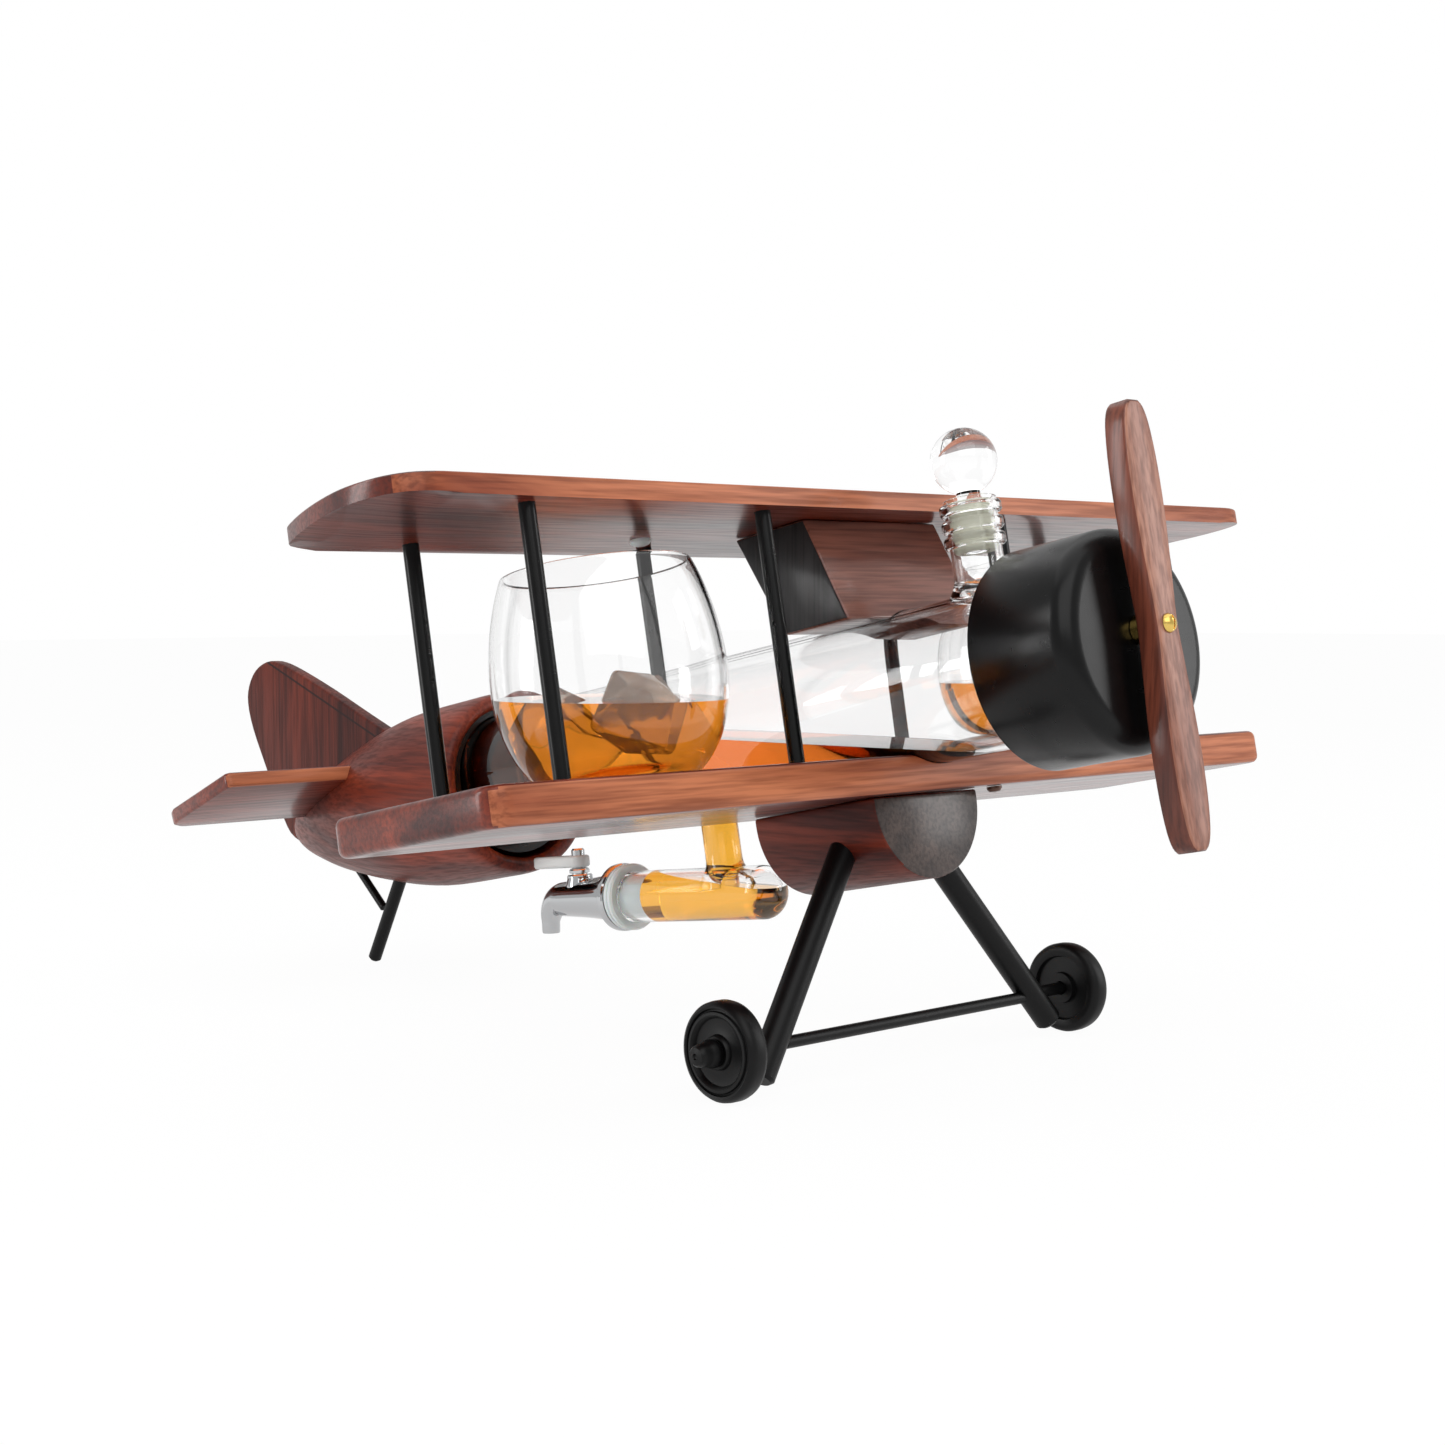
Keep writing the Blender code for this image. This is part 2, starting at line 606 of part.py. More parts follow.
def leg_x_at(z):
    """How far out the leg's centre line is at a height."""
    share = (z - LEG_TOP[1]) / (LEG_FOOT[1] - LEG_TOP[1])
    return LEG_TOP[0] + share * (LEG_FOOT[0] - LEG_TOP[0])


def gear_legs():
    reach = leg_x_at(WHEEL_Z)
    for name, side in SIDES:
        start, run = leg_line(side)
        leg = node(f"gear_leg_{name}", rod(LEG_R, run.length, 24, 0.0008), BLACK, start, aim(run))
        axle = rod(AXLE_R + FIT, 0.04, 16)
        boolean(leg, cutter(f"axle_socket_{name}", axle, (side * (reach - 0.0015), WHEEL_Y, WHEEL_Z), aim((side, 0, 0))))
        spot = (side * (reach - 0.0050), WHEEL_Y, SPREADER_Z)
        spreader = rod(SPREADER_R + FIT, 0.04, 16)
        boolean(leg, cutter(f"spreader_socket_{name}", spreader, spot, aim((-side, 0, 0))))


def spreader_rod():
    reach = leg_x_at(WHEEL_Z) - 0.0050 - FIT
    start = (-reach, WHEEL_Y, SPREADER_Z)
    span_rod("spreader_rod", start, (reach, WHEEL_Y, SPREADER_Z), SPREADER_R, BLACK, 16)


def wheel_profile():
    """A turned wheel as (radius, offset outwards): tread, rim ring, groove, dish and boss."""
    half = WHEEL_THICK / 2
    bore = AXLE_R + TURN_FIT
    return [
        (bore, half + 0.0005),
        (0.0062, half + 0.0005),
        (0.0066, half - 0.0018),
        (0.0128, half - 0.0022),
        (0.0134, half - 0.0006),
        (0.0150, half - 0.0002),
        (0.0155, half - 0.0010),
        (0.0160, half),
        (0.0174, half - 0.0004),
        (WHEEL_R, half - 0.0020),
        (WHEEL_R, 0.0020 - half),
        (0.0174, 0.0004 - half),
        (0.0134, 0.0004 - half),
        (0.0128, 0.0022 - half),
        (0.0066, 0.0018 - half),
        (0.0062, -half),
        (bore, -half),
    ]


def wheels():
    for name, side in SIDES:
        at = (side * WHEEL_TRACK / 2, WHEEL_Y, WHEEL_Z)
        node(f"wheel_{name}", loop_turned(wheel_profile(), 28), BLACK, at, aim((side, 0, 0)))
        inner = leg_x_at(WHEEL_Z) - 0.0015 + FIT
        face = WHEEL_TRACK / 2 + WHEEL_THICK / 2 + 0.0005 + TURN_FIT
        shank = face - inner
        profile = [(0, 0), (AXLE_R, 0), (AXLE_R, shank), (0.0042, shank), (0.0042, shank + 0.0070)]
        profile += [(0.0036, shank + 0.0090), (0.0022, shank + 0.0098), (0, shank + 0.0100)]
        node(f"axle_peg_{name}", turned(profile, 20), BLACK, (side * inner, WHEEL_Y, WHEEL_Z), aim((side, 0, 0)))


# ---- tap ----------------------------------------------------------------------------------
def pipe_point(distance, rise=0.0):
    """A point along the tilted pipe's axis, measured from its closed front end."""
    run = Vector((0, cos(PIPE_TILT), sin(PIPE_TILT)))
    up = Vector((0, -sin(PIPE_TILT), cos(PIPE_TILT)))
    return Vector((0, PIPE_FRONT, PIPE_Z)) + run * distance + up * rise


PIPE_TURN = Matrix.Rotation(-pi / 2 + PIPE_TILT, 4, "X")
LINER_DEPTH = 0.0460
BRACE_R = 0.0020
STAB_ROOT = FIN_THICK / 2 + 0.0045
WING_SCREW = (0.0362, 0.0070)
BRASS_DARK = ("dark_screw", (0.16, 0.07, 0.04, 1), 0.35, 0.6)
BELLY_ANGLES = [-pi * i / 20 for i in range(21)]
SPREADER_Z = WHEEL_Z - 0.0010
SKID_FOOT = Vector((0, 0.3895, -0.0475))
SHANK_R = 0.0050
GASKET_THICK = 0.0060
FLANGE_THICK = 0.0045
TAP_R = 0.0098
TAP_REACH = 0.0440
SPINDLE_R = 0.0036
SPOUT_BEND = 0.0110
TOWER_AT = 0.0260
TAP_FACE = PIPE_LENGTH + GASKET_THICK + FLANGE_THICK + 2 * FIT


def tap_bung():
    """A soft bung in the pipe's end, with a flange that the tap pulls up against."""
    plug = PIPE_R - PIPE_WALL - FIT
    inner = SHANK_R + FIT
    ring = [(inner, -0.0140), (plug - 0.0008, -0.0140), (plug, -0.0120), (plug, FIT), (0.0142, FIT)]
    ring += [(0.0146, 0.0012), (0.0146, GASKET_THICK - 0.0012), (0.0142, GASKET_THICK), (inner, GASKET_THICK)]
    node("tap_bung", loop_turned(ring, STEPS), SILICONE, pipe_point(PIPE_LENGTH), PIPE_TURN)


def tap_flange():
    start = GASKET_THICK + FIT
    ring = [(SHANK_R + FIT, 0), (0.0146, 0), (0.0150, 0.0008), (0.0150, FLANGE_THICK - 0.0010)]
    ring += [(0.0138, FLANGE_THICK), (SHANK_R + FIT, FLANGE_THICK)]
    node("tap_flange", loop_turned(ring, STEPS), CHROME, pipe_point(PIPE_LENGTH + start), PIPE_TURN)


def bent(stations, steps):
    """A round bar that runs along y and then bends down: stations are (distance, bend, reach, radius)."""
    bm = bmesh.new()
    rings = []
    for distance, angle, reach, radius in stations:
        along = distance + SPOUT_BEND * sin(angle) + reach * cos(angle)
        drop = SPOUT_BEND * (1 - cos(angle)) + reach * sin(angle)
        centre = Vector((0, along, -drop))
        out = Vector((0, sin(angle), cos(angle)))
        ring = []
        for k in range(steps):
            turn = 2 * pi * k / steps
            ring.append(bm.verts.new(centre + Vector((radius * cos(turn), 0, 0)) + out * radius * sin(turn)))
        rings.append(ring)
    for low, high in zip(rings, rings[1:]):
        for k in range(steps):
            j = (k + 1) % steps
            bm.faces.new((low[k], low[j], high[j], high[k]))
    bm.faces.new(rings[0])
    bm.faces.new(rings[-1])
    return bm


def spout_bends(start, first, last, tip):
    """Stations round the spout's bend, and on down to its tip."""
    stations = []
    for i in range(7):
        angle = radians(86) * i / 6
        stations.append((start, angle, 0, first + (last - first) * i / 6))
    return stations + [(start, radians(86), tip, last)]


def tap_body():
    """Shank, barrel and spout in one casting, bored through and open at the top for the spindle."""
    start = TAP_REACH - 0.006
    shank = [(-0.0240, 0, 0, SHANK_R - 0.0004), (-0.0236, 0, 0, SHANK_R), (0, 0, 0, SHANK_R)]
    barrel = [(0, 0, 0, TAP_R), (0.0030, 0, 0, TAP_R + 0.0004), (0.0080, 0, 0, TAP_R), (0.0200, 0, 0, 0.88 * TAP_R)]
    outside = bent(shank + barrel + spout_bends(start, 0.80 * TAP_R, 0.0042, 0.0050), 22)
    level = Matrix.Rotation(PIPE_TILT, 4, "X")
    body = node("tap_body", outside, CHROME, pipe_point(TAP_FACE), level)
    tower = turned([(0, 0), (0.0058, 0), (0.0058, 0.0103), (0.0052, 0.0110), (0, 0.0110)], 24)
    boolean(body, cutter("tower_form", tower, pipe_point(TAP_FACE + TOWER_AT), level), "UNION")
    well = turned([(0, -0.0040), (SPINDLE_R + FIT, -0.0040), (SPINDLE_R + FIT, 0.03), (0, 0.03)], 22)
    boolean(body, cutter("spindle_well", well, pipe_point(TAP_FACE + TOWER_AT), level))
    feed = bent([(-0.03, 0, 0, 0.0022), (TOWER_AT, 0, 0, 0.0022)], 12)
    boolean(body, cutter("feed_bore", feed, pipe_point(TAP_FACE), level))
    drain = bent([(TOWER_AT + 0.001, 0, 0, 0.0021)] + spout_bends(start, 0.0021, 0.0021, 0.010), 12)
    boolean(body, cutter("drain_bore", drain, pipe_point(TAP_FACE), level))


def tap_handle():
    """The spindle that turns in the tap's tower, and the lever pushed on to it."""
    level = Matrix.Rotation(PIPE_TILT, 4, "X")
    at = pipe_point(TAP_FACE + TOWER_AT)
    shoulder = 0.0110 + TURN_FIT
    profile = [(0, -0.0037), (SPINDLE_R, -0.0037), (SPINDLE_R, shoulder), (0.0046, shoulder)]
    profile += [(0.0046, 0.0130), (0.0030, 0.0138), (0.0030, 0.0220), (0.0024, 0.0226), (0, 0.0226)]
    spindle = node("tap_spindle", turned(profile, 22), CHROME, at, level)
    port = bent([(-0.01, 0, 0, 0.0020), (0.01, 0, 0, 0.0020)], 16)
    boolean(spindle, cutter("spindle_port", port, at, level))
    outline = arc((0, 0), 0.0050, 180, 360, 8) + arc((0, 0.0260), 0.0038, 0, 180, 8)
    lever = node("tap_lever", prism(outline, 0.0138 + FIT, 0.0195), PLASTIC, at, level)
    rounded(lever, 0.0008)
    boolean(lever, cutter("lever_hole", pins([(0, 0)], 0.0030 + FIT, 0.010, 0.030), at, level))


# ---- tumblers -----------------------------------------------------------------------------
def tumbler_profile():
    """A stemless barrel glass: thick foot, fullest a third of the way up, drawn in at the rim."""
    r = TUMBLER_R
    h = TUMBLER_HEIGHT
    wall = 0.0016
    outer = [(0.56 * r, 0), (0.66 * r, 0.02 * h), (0.80 * r, 0.09 * h), (0.915 * r, 0.20 * h), (0.985 * r, 0.34 * h)]
    outer += [(r, 0.46 * h), (0.985 * r, 0.60 * h), (0.94 * r, 0.76 * h), (0.87 * r, 0.90 * h), (0.80 * r, 0.995 * h)]
    rim = [(0.80 * r - 0.5 * wall, h)]
    inner = [(x - wall, y) for x, y in reversed(outer[3:])]
    floor = [(0.76 * r - wall, 0.12 * h), (0.50 * r, 0.085 * h), (0, 0.080 * h)]
    return [(0, 0.004 * h), (0.45 * r, 0.004 * h)] + outer + rim + inner + floor


def tumblers():
    for name, side in SIDES:
        node(f"tumbler_{name}", turned(tumbler_profile(), 28), GLASS, (side * TUMBLER_X, TUMBLER_Y, FIT))


# ---- the stance ---------------------------------------------------------------------------
def stance():
    """The pitch at which the wheels and the skid touch the floor together."""
    back = SKID_FOOT.y - WHEEL_Y
    rise = SKID_FOOT.z - WHEEL_Z
    run = hypot(back, rise)
    return atan2(rise, back) + asin((WHEEL_R - SKID_R * 0.80) / run)


def stand_on_floor():
    pitch = stance()
    AIRFRAME.rotation_euler = (-pitch, 0, 0)
    AIRFRAME.location = (0, 0, 0)
    bpy.context.view_layer.update()
    graph = bpy.context.evaluated_depsgraph_get()
    lows = []
    ends = []
    for obj in bpy.data.objects:
        if obj.type != "MESH" or obj.hide_render:
            continue
        made = obj.evaluated_get(graph)
        for vertex in made.data.vertices:
            spot = made.matrix_world @ vertex.co
            lows.append(spot.z)
            ends.append(spot.y)
    AIRFRAME.location = (0, -(min(ends) + max(ends)) / 2, -min(lows))


clear_scene()
AIRFRAME = bpy.data.objects.new("airframe", None)
bpy.context.scene.collection.objects.link(AIRFRAME)
lower_wing()
upper_wing()
struts()
wing_screw()
glass_pads()
cabane_block()
belly_block()
decanter()
stopper()
cowling()
propeller()
propeller_hardware()
tail_cone()
tail_liner()
tail_fin()
stabilizers()
tail_skid()
gear_legs()
spreader_rod()
wheels()
tap_bung()
tap_flange()
tap_body()
tap_handle()
tumblers()
stand_on_floor()
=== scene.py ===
# %% [markdown]
# A wooden biplane that carries a glass decanter as its fuselage and a stemless tumbler on each side
# of its lower wing. Every piece is drawn in the airframe's own frame (x span, y aft, z up, metres)
# and then laid on the floor by one matrix, STANCE, which pitches the plane nose-up on its gear.

# %% Load the frame
import math
from math import cos, pi, radians, sin, sqrt

import bmesh
import bpy
from mathutils import Euler, Matrix, Vector


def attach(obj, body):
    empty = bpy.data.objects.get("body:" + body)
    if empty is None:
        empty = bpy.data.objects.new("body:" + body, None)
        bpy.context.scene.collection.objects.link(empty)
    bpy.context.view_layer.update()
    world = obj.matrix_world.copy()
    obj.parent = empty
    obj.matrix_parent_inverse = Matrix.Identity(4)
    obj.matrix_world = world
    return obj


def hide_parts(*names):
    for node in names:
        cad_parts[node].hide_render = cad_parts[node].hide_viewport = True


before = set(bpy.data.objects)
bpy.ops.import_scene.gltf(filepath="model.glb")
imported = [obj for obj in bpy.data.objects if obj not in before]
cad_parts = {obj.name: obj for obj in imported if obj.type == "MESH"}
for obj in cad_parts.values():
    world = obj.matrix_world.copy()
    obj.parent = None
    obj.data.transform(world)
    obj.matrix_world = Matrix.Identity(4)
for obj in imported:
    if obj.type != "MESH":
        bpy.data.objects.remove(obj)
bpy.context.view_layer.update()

# %% [markdown]
# Sizes are the same as the solid model's, so that each piece lands where its solid is.

# %% Sizes
HALF_SPAN = 0.218
CHORD = 0.0946
UPPER_Z = 0.0944
LOWER_THICK = 0.0142
UPPER_THICK = 0.0073
GLASS_R = 0.0302
GLASS_WALL = 0.0022
AXIS_Z = 0.0260
NOSE_Y = -0.0880
GLASS_LENGTH = 0.388
NECK_Y = -0.0310
COWL_R = 0.0410
COWL_FRONT = -0.0980
COWL_LENGTH = 0.0450
TAIL_R = 0.0425
TAIL_Y = 0.2570
TAIL_Z = 0.0240
TAIL_LENGTH = 0.183
STRUT_X = (0.312 * HALF_SPAN, 0.823 * HALF_SPAN)
STRUT_Y = (0.011, CHORD - 0.017)
CUP_R = 0.0430
CUP_H = 0.0785
CUP_AT = ((STRUT_X[0] + STRUT_X[1]) / 2, (STRUT_Y[0] + STRUT_Y[1]) / 2)
TUBE_Y = CHORD + 0.033
PIPE_Y = TUBE_Y - 0.030
PIPE_Z = -0.0437
PIPE_R = 0.0113
PIPE_LENGTH = 0.089
PIPE_TILT = radians(4.5)
WHEEL = (0.0995, 0.0360, -0.0990)
PITCH = radians(10.84632)
STANCE = Matrix.Translation((0, -0.181599, 0.122494)) @ Matrix.Rotation(-PITCH, 4, "X")
SIDES = (("right", -1), ("left", 1))
ALONG_Y = Matrix.Rotation(-pi / 2, 4, "X")
ALONG_PIPE = Matrix.Rotation(PIPE_TILT - pi / 2, 4, "X")
PROP_Z = AXIS_Z + 0.003
print("wing span", 2 * HALF_SPAN, "chord", CHORD)

# %% [markdown]
# Shaders. `Maths` writes a formula on a node tree: + - * between its values, and `node` for the rest.

# %% Shader writer
class Maths:
    def __init__(self, tree, socket):
        self.tree = tree
        self.socket = socket

    def maths(self, operation, other=None):
        made = self.tree.nodes.new("ShaderNodeMath")
        made.operation = operation
        self.tree.links.new(self.socket, made.inputs[0])
        if isinstance(other, Maths):
            self.tree.links.new(other.socket, made.inputs[1])
        elif other is not None:
            made.inputs[1].default_value = other
        return Maths(self.tree, made.outputs[0])

    def __add__(self, other):
        return self.maths("ADD", other)

    def __sub__(self, other):
        return self.maths("SUBTRACT", other)

    def __mul__(self, other):
        return self.maths("MULTIPLY", other)

    def __rsub__(self, other):
        return self.maths("MULTIPLY", -1) + other

    __radd__ = __add__
    __rmul__ = __mul__


class Shader:
    def __init__(self, name):
        self.material = bpy.data.materials.new(name)
        self.material.use_nodes = True
        self.tree = self.material.node_tree
        self.surface = self.tree.nodes["Principled BSDF"]

    def node(self, kind, output=0, settings=None, **inputs):
        made = self.tree.nodes.new("ShaderNode" + kind)
        for key, value in (settings or {}).items():
            setattr(made, key, value)
        for key, value in inputs.items():
            socket = made.inputs[int(key[1:])] if key[0] == "i" and key[1:].isdigit() else made.inputs[key]
            if isinstance(value, Maths):
                self.tree.links.new(value.socket, socket)
            else:
                socket.default_value = value
        return Maths(self.tree, made.outputs[output])

    def place(self, scale, turn=(0, 0, 0)):
        """Object coordinates, stretched and turned."""
        spot = self.node("TexCoord", "Object")
        return self.node("Mapping", Vector=spot, Scale=scale, Rotation=turn)

    def mix(self, factor, first, second):
        return self.node("Mix", 2, {"data_type": "RGBA"}, i0=factor, i6=first, i7=second)

    def ramp(self, value, low, high):
        """0 below low, 1 above high."""
        return self.node("MapRange", 0, {"clamp": True}, Value=value, i1=low, i2=high)

    def set(self, **values):
        for key, value in values.items():
            self.surface.inputs[key.replace("_", " ")].default_value = value

    def wire(self, key, value):
        self.tree.links.new(value.socket, self.surface.inputs[key])


print("shader writer ready")

# %% [markdown]
# Stained wood: dark streaks drawn out along the grain, a finer set of pores, and a thin lacquer.

# %% Wood
def wood(name, grain, dark, light, rough=0.34, coat=0.55, lines=()):
    made = Shader(name)
    scale = [46.0, 46.0, 46.0]
    scale[grain] = 5.0
    turn = (PITCH, 0, 0)
    broad = made.node("TexNoise", 0, Vector=made.place(scale, turn), Scale=1.0, Detail=5.0, Distortion=0.9)
    fine_scale = [620.0, 620.0, 620.0]
    fine_scale[grain] = 26.0
    fine = made.node("TexNoise", 0, Vector=made.place(fine_scale, turn), Scale=1.0, Detail=2.0)
    rings = made.ramp(broad, 0.34, 0.66)
    pores = made.ramp(fine, 0.35, 0.60)
    tone = made.mix(rings, dark, light)
    pitted = made.mix(pores, tuple(0.62 * c for c in dark[:3]) + (1,), (1, 1, 1, 1))
    tone = made.node("Mix", 2, {"data_type": "RGBA", "blend_type": "MULTIPLY"}, i0=0.45, i6=tone, i7=pitted)
    spot = made.node("TexCoord", "Object")
    for normal, offset, width in lines:
        along = made.node("VectorMath", 1, {"operation": "DOT_PRODUCT"}, i0=spot, i1=normal) - offset
        cut = made.ramp(along.maths("ABSOLUTE"), width * 0.5, width)
        tone = made.mix(cut, tuple(0.35 * c for c in dark[:3]) + (1,), tone)
    made.wire("Base Color", tone)
    made.wire("Roughness", made.node("MapRange", 0, Value=pores, i3=rough + 0.12, i4=rough))
    bump = made.node("Bump", 0, Height=pores, Strength=0.10, Distance=0.0004)
    made.wire("Normal", bump)
    made.set(Coat_Weight=coat, Coat_Roughness=0.18, Specular_IOR_Level=0.18)
    return made.material


RED_DARK = (0.062, 0.0060, 0.0028, 1)
RED_LIGHT = (0.235, 0.034, 0.013, 1)
# The next two tones make a lighter copy of the red wood for the front faces of the boards: painted light where the
# lamps fall on them.
LIT_FRONT_DARK = (0.230, 0.048, 0.020, 1)
LIT_FRONT_LIGHT = (0.580, 0.195, 0.088, 1)
WOOD_X = wood("mahogany_span", 0, RED_DARK, RED_LIGHT, 0.32, 0.55)
LIT_FRONT_WOOD = wood("mahogany_lit_front", 0, LIT_FRONT_DARK, LIT_FRONT_LIGHT, 0.42, 0.15)
END_GRAIN = wood("mahogany_end_grain", 1, (0.040, 0.028, 0.025, 1), (0.105, 0.070, 0.058, 1), 0.34, 0.5)
# A near-black copy of the wood for the cabane's cheeks: painted shade.
CHEEK_SHADE_WOOD = wood("mahogany_cheek_painted_shade", 2, (0.012, 0.011, 0.012, 1), (0.030, 0.026, 0.026, 1), 0.36, 0.3)
WOOD_Y = wood("mahogany_fore_aft", 1, RED_DARK, RED_LIGHT, 0.40, 0.12)
print("wood", WOOD_X.name, WOOD_Y.name, LIT_FRONT_WOOD.name)

# %% [markdown]
# The other finishes are even all over: glass and drink let light through at their own index, chrome and
# brass are metals with a little roughness, and the black paint shows faint brush marks in its gloss.

# %% Plain finishes
def plain(name, colour, rough, metal=0.0, **more):
    made = Shader(name)
    made.set(Base_Color=colour, Roughness=rough, Metallic=metal, **more)
    return made.material


def black_paint(name, rough):
    """Satin paint over turned wood, with a faint brushed unevenness."""
    made = Shader(name)
    grain = made.node("TexNoise", 0, Vector=made.place((60, 240, 240)), Scale=1.0, Detail=3.0)
    made.wire("Base Color", made.mix(grain, (0.0008, 0.0008, 0.0009, 1), (0.0032, 0.0033, 0.0036, 1)))
    made.wire("Roughness", made.node("MapRange", 0, Value=grain, i3=rough - 0.02, i4=rough + 0.03))
    made.wire("Normal", made.node("Bump", 0, Height=grain, Strength=0.03, Distance=0.0002))
    made.set(Specular_IOR_Level=0.22)
    return made.material


BLACK = black_paint("black_satin", 0.26)
BLACK_GEAR = black_paint("black_gear", 0.40)
GLASS = plain("clear_glass", (1, 1, 1, 1), 0.0, IOR=1.47, Transmission_Weight=1.0)
ICE = plain("ice", (1.0, 0.93, 0.84, 1), 0.06, IOR=1.10, Transmission_Weight=0.8)
DRINK = plain("amber_drink", (0.93, 0.31, 0.025, 1), 0.0, IOR=1.36, Transmission_Weight=1.0)
PALE_DRINK = plain("pale_amber_drink", (0.92, 0.46, 0.05, 1), 0.0, IOR=1.36, Transmission_Weight=1.0)
POOL_DRINK = plain("deep_amber_drink", (0.86, 0.20, 0.025, 1), 0.0, IOR=1.36, Transmission_Weight=1.0)
CHROME = plain("polished_chrome", (0.52, 0.53, 0.54, 1), 0.09, 1.0)
BRASS = plain("polished_brass", (0.75, 0.52, 0.14, 1), 0.22, 1.0)
SILICONE = plain("milky_silicone", (0.80, 0.80, 0.78, 1), 0.45, Subsurface_Weight=0.2)
CREAM = plain("cream_seal", (0.86, 0.86, 0.70, 1), 0.40, Transmission_Weight=0.35)
PLASTIC = plain("pale_plastic", (0.82, 0.83, 0.82, 1), 0.25, Transmission_Weight=0.3)
DARK_SCREW = plain("dark_screw", (0.10, 0.045, 0.03, 1), 0.35, 0.5)
print("finishes ready")

# %% [markdown]
# Mesh makers. A turned piece is a profile carried round z; a plank is an outline given a thickness and eased edges; a
# bent bar is a chain of rings. `piece` lays the finished mesh on the floor and hides the solid it stands for.

# %% Mesh makers
def turned(profile, steps=96):
    """A profile of (radius, height) points spun round z."""
    bm = bmesh.new()
    verts = [bm.verts.new((radius, 0, height)) for radius, height in profile]
    ends = verts[1:] + (verts[:1] if profile[0][0] != 0 else [])
    edges = [bm.edges.new(pair) for pair in zip(verts, ends)]
    bmesh.ops.spin(
        bm, geom=verts + edges, cent=(0, 0, 0), axis=(0, 0, 1), angle=2 * pi, steps=steps, use_merge=True,
    )
    bmesh.ops.remove_doubles(bm, verts=bm.verts, dist=1e-6)
    return bm


print("spun shapes ready")

# %% [markdown]
# Turned and blown shapes have few straight lines. A soft curve through a handful of points gives them
# their swell, and keeps the numbers few.

# %% Soft profiles
def smooth_profile(points, between=4):
    """A soft curve through (radius, height) points, for the blown and turned shapes."""
    out = []
    count = len(points)
    for i in range(count - 1):
        p0 = points[max(i - 1, 0)]
        p1 = points[i]
        p2 = points[i + 1]
        p3 = points[min(i + 2, count - 1)]
        for k in range(between):
            t = k / between
            spot = []
            for a, b, c, d in zip(p0, p1, p2, p3):
                square = 2 * a - 5 * b + 4 * c - d
                cube = 3 * b - a - 3 * c + d
                spot.append(0.5 * (2 * b + (c - a) * t + square * t * t + cube * t**3))
            out.append(tuple(spot))
    return out + [points[-1]]


print("soft profiles ready")

# %% [markdown]
# Planks are outlines extruded to a thickness. Nothing sawn keeps a knife edge once it's sanded, so every
# sharp edge is bevelled.

# %% Planks
def prism(outline, low, high):
    """A flat outline extruded upwards."""
    bm = bmesh.new()
    face = bm.faces.new([bm.verts.new((x, y, low)) for x, y in outline])
    grown = bmesh.ops.extrude_face_region(bm, geom=[face])["geom"]
    lifted = [v for v in grown if isinstance(v, bmesh.types.BMVert)]
    bmesh.ops.translate(bm, vec=(0, 0, high - low), verts=lifted)
    return bm


def ease(bm, width, segments=4, angle=35):
    """Rounds every edge sharper than an angle."""
    bmesh.ops.recalc_face_normals(bm, faces=bm.faces)
    edges = [e for e in bm.edges if len(e.link_faces) == 2 and e.calc_face_angle() > radians(angle)]
    bmesh.ops.bevel(
        bm, geom=edges, offset=width, segments=segments, affect="EDGES", profile=0.5, material=-1,
        clamp_overlap=True,
    )
    return bm


def arc(centre, radius, start, stop, count):
    spots = [radians(start + (stop - start) * i / count) for i in range(count + 1)]
    return [(centre[0] + radius * cos(a), centre[1] + radius * sin(a)) for a in spots]


def rod(radius, length, steps=40, soft=0.0006):
    return turned(
        [(0, 0), (radius - soft, 0), (radius, soft), (radius, length - soft), (radius - soft, length), (0, length)],
        steps,
    )


def aim(direction):
    return Vector(direction).to_track_quat("Z", "Y").to_matrix().to_4x4()


print("planks and rods ready")

# %% [markdown]
# Pieces are made at the origin, put in place inside their own mesh, and joined or cut with an exact
# Boolean where one fits into another.

# %% Placing and cutting
def put(bm, at=(0, 0, 0), turn=None):
    bmesh.ops.transform(bm, matrix=Matrix.Translation(at) @ (turn or Matrix()), verts=bm.verts)
    return bm


def plain_object(bm, name):
    bmesh.ops.recalc_face_normals(bm, faces=bm.faces)
    mesh = bpy.data.meshes.new(name)
    bm.to_mesh(mesh)
    bm.free()
    made = bpy.data.objects.new(name, mesh)
    bpy.context.scene.collection.objects.link(made)
    return made


def combine(base, tools):
    """Joins or cuts (operation, bmesh) in turn, and gives back one plain bmesh."""
    target = plain_object(base, "combine_base")
    helpers = []
    for operation, bm in tools:
        helper = plain_object(bm, "combine_tool")
        helpers.append(helper)
        step = target.modifiers.new("combine", "BOOLEAN")
        step.operation = operation
        step.solver = "EXACT"
        step.object = helper
    graph = bpy.context.evaluated_depsgraph_get()
    out = bmesh.new()
    out.from_mesh(target.evaluated_get(graph).to_mesh())
    for helper in helpers + [target]:
        bpy.data.objects.remove(helper)
    return out


print("placing ready")

# %% [markdown]
# The last helper lays a mesh on the floor, shades it, ties it to the body it moves with and hides the solid it stands
# for. Another gives the faces on one side their own finish.

# %% Finished pieces
def piece(name, bm, material, stands_for, body=None, angle=32):
    """Lays a mesh on the floor, shades it smooth below an angle, ties it to its body and hides its solid."""
    bmesh.ops.transform(bm, matrix=STANCE, verts=bm.verts)
    made = plain_object(bm, name)
    made.data.polygons.foreach_set("use_smooth", [True] * len(made.data.polygons))
    made.data.set_sharp_from_angle(angle=radians(angle))
    made.data.materials.append(material)
    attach(made, body or "airframe")
    if stands_for:
        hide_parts(*stands_for)
    return made


def faced(made, material, test):
    """Gives the faces whose outward direction passes a test another finish."""
    made.data.materials.append(material)
    for face in made.data.polygons:
        if test(face.normal):
            face.material_index = len(made.data.materials) - 1


print("mesh makers ready")

# %% [markdown]
# The wings. The lower one is a rounded board hollowed where the glass sits. The upper one swells at the
# tips, with a shallow lens-shaped bevel on the underside of each.

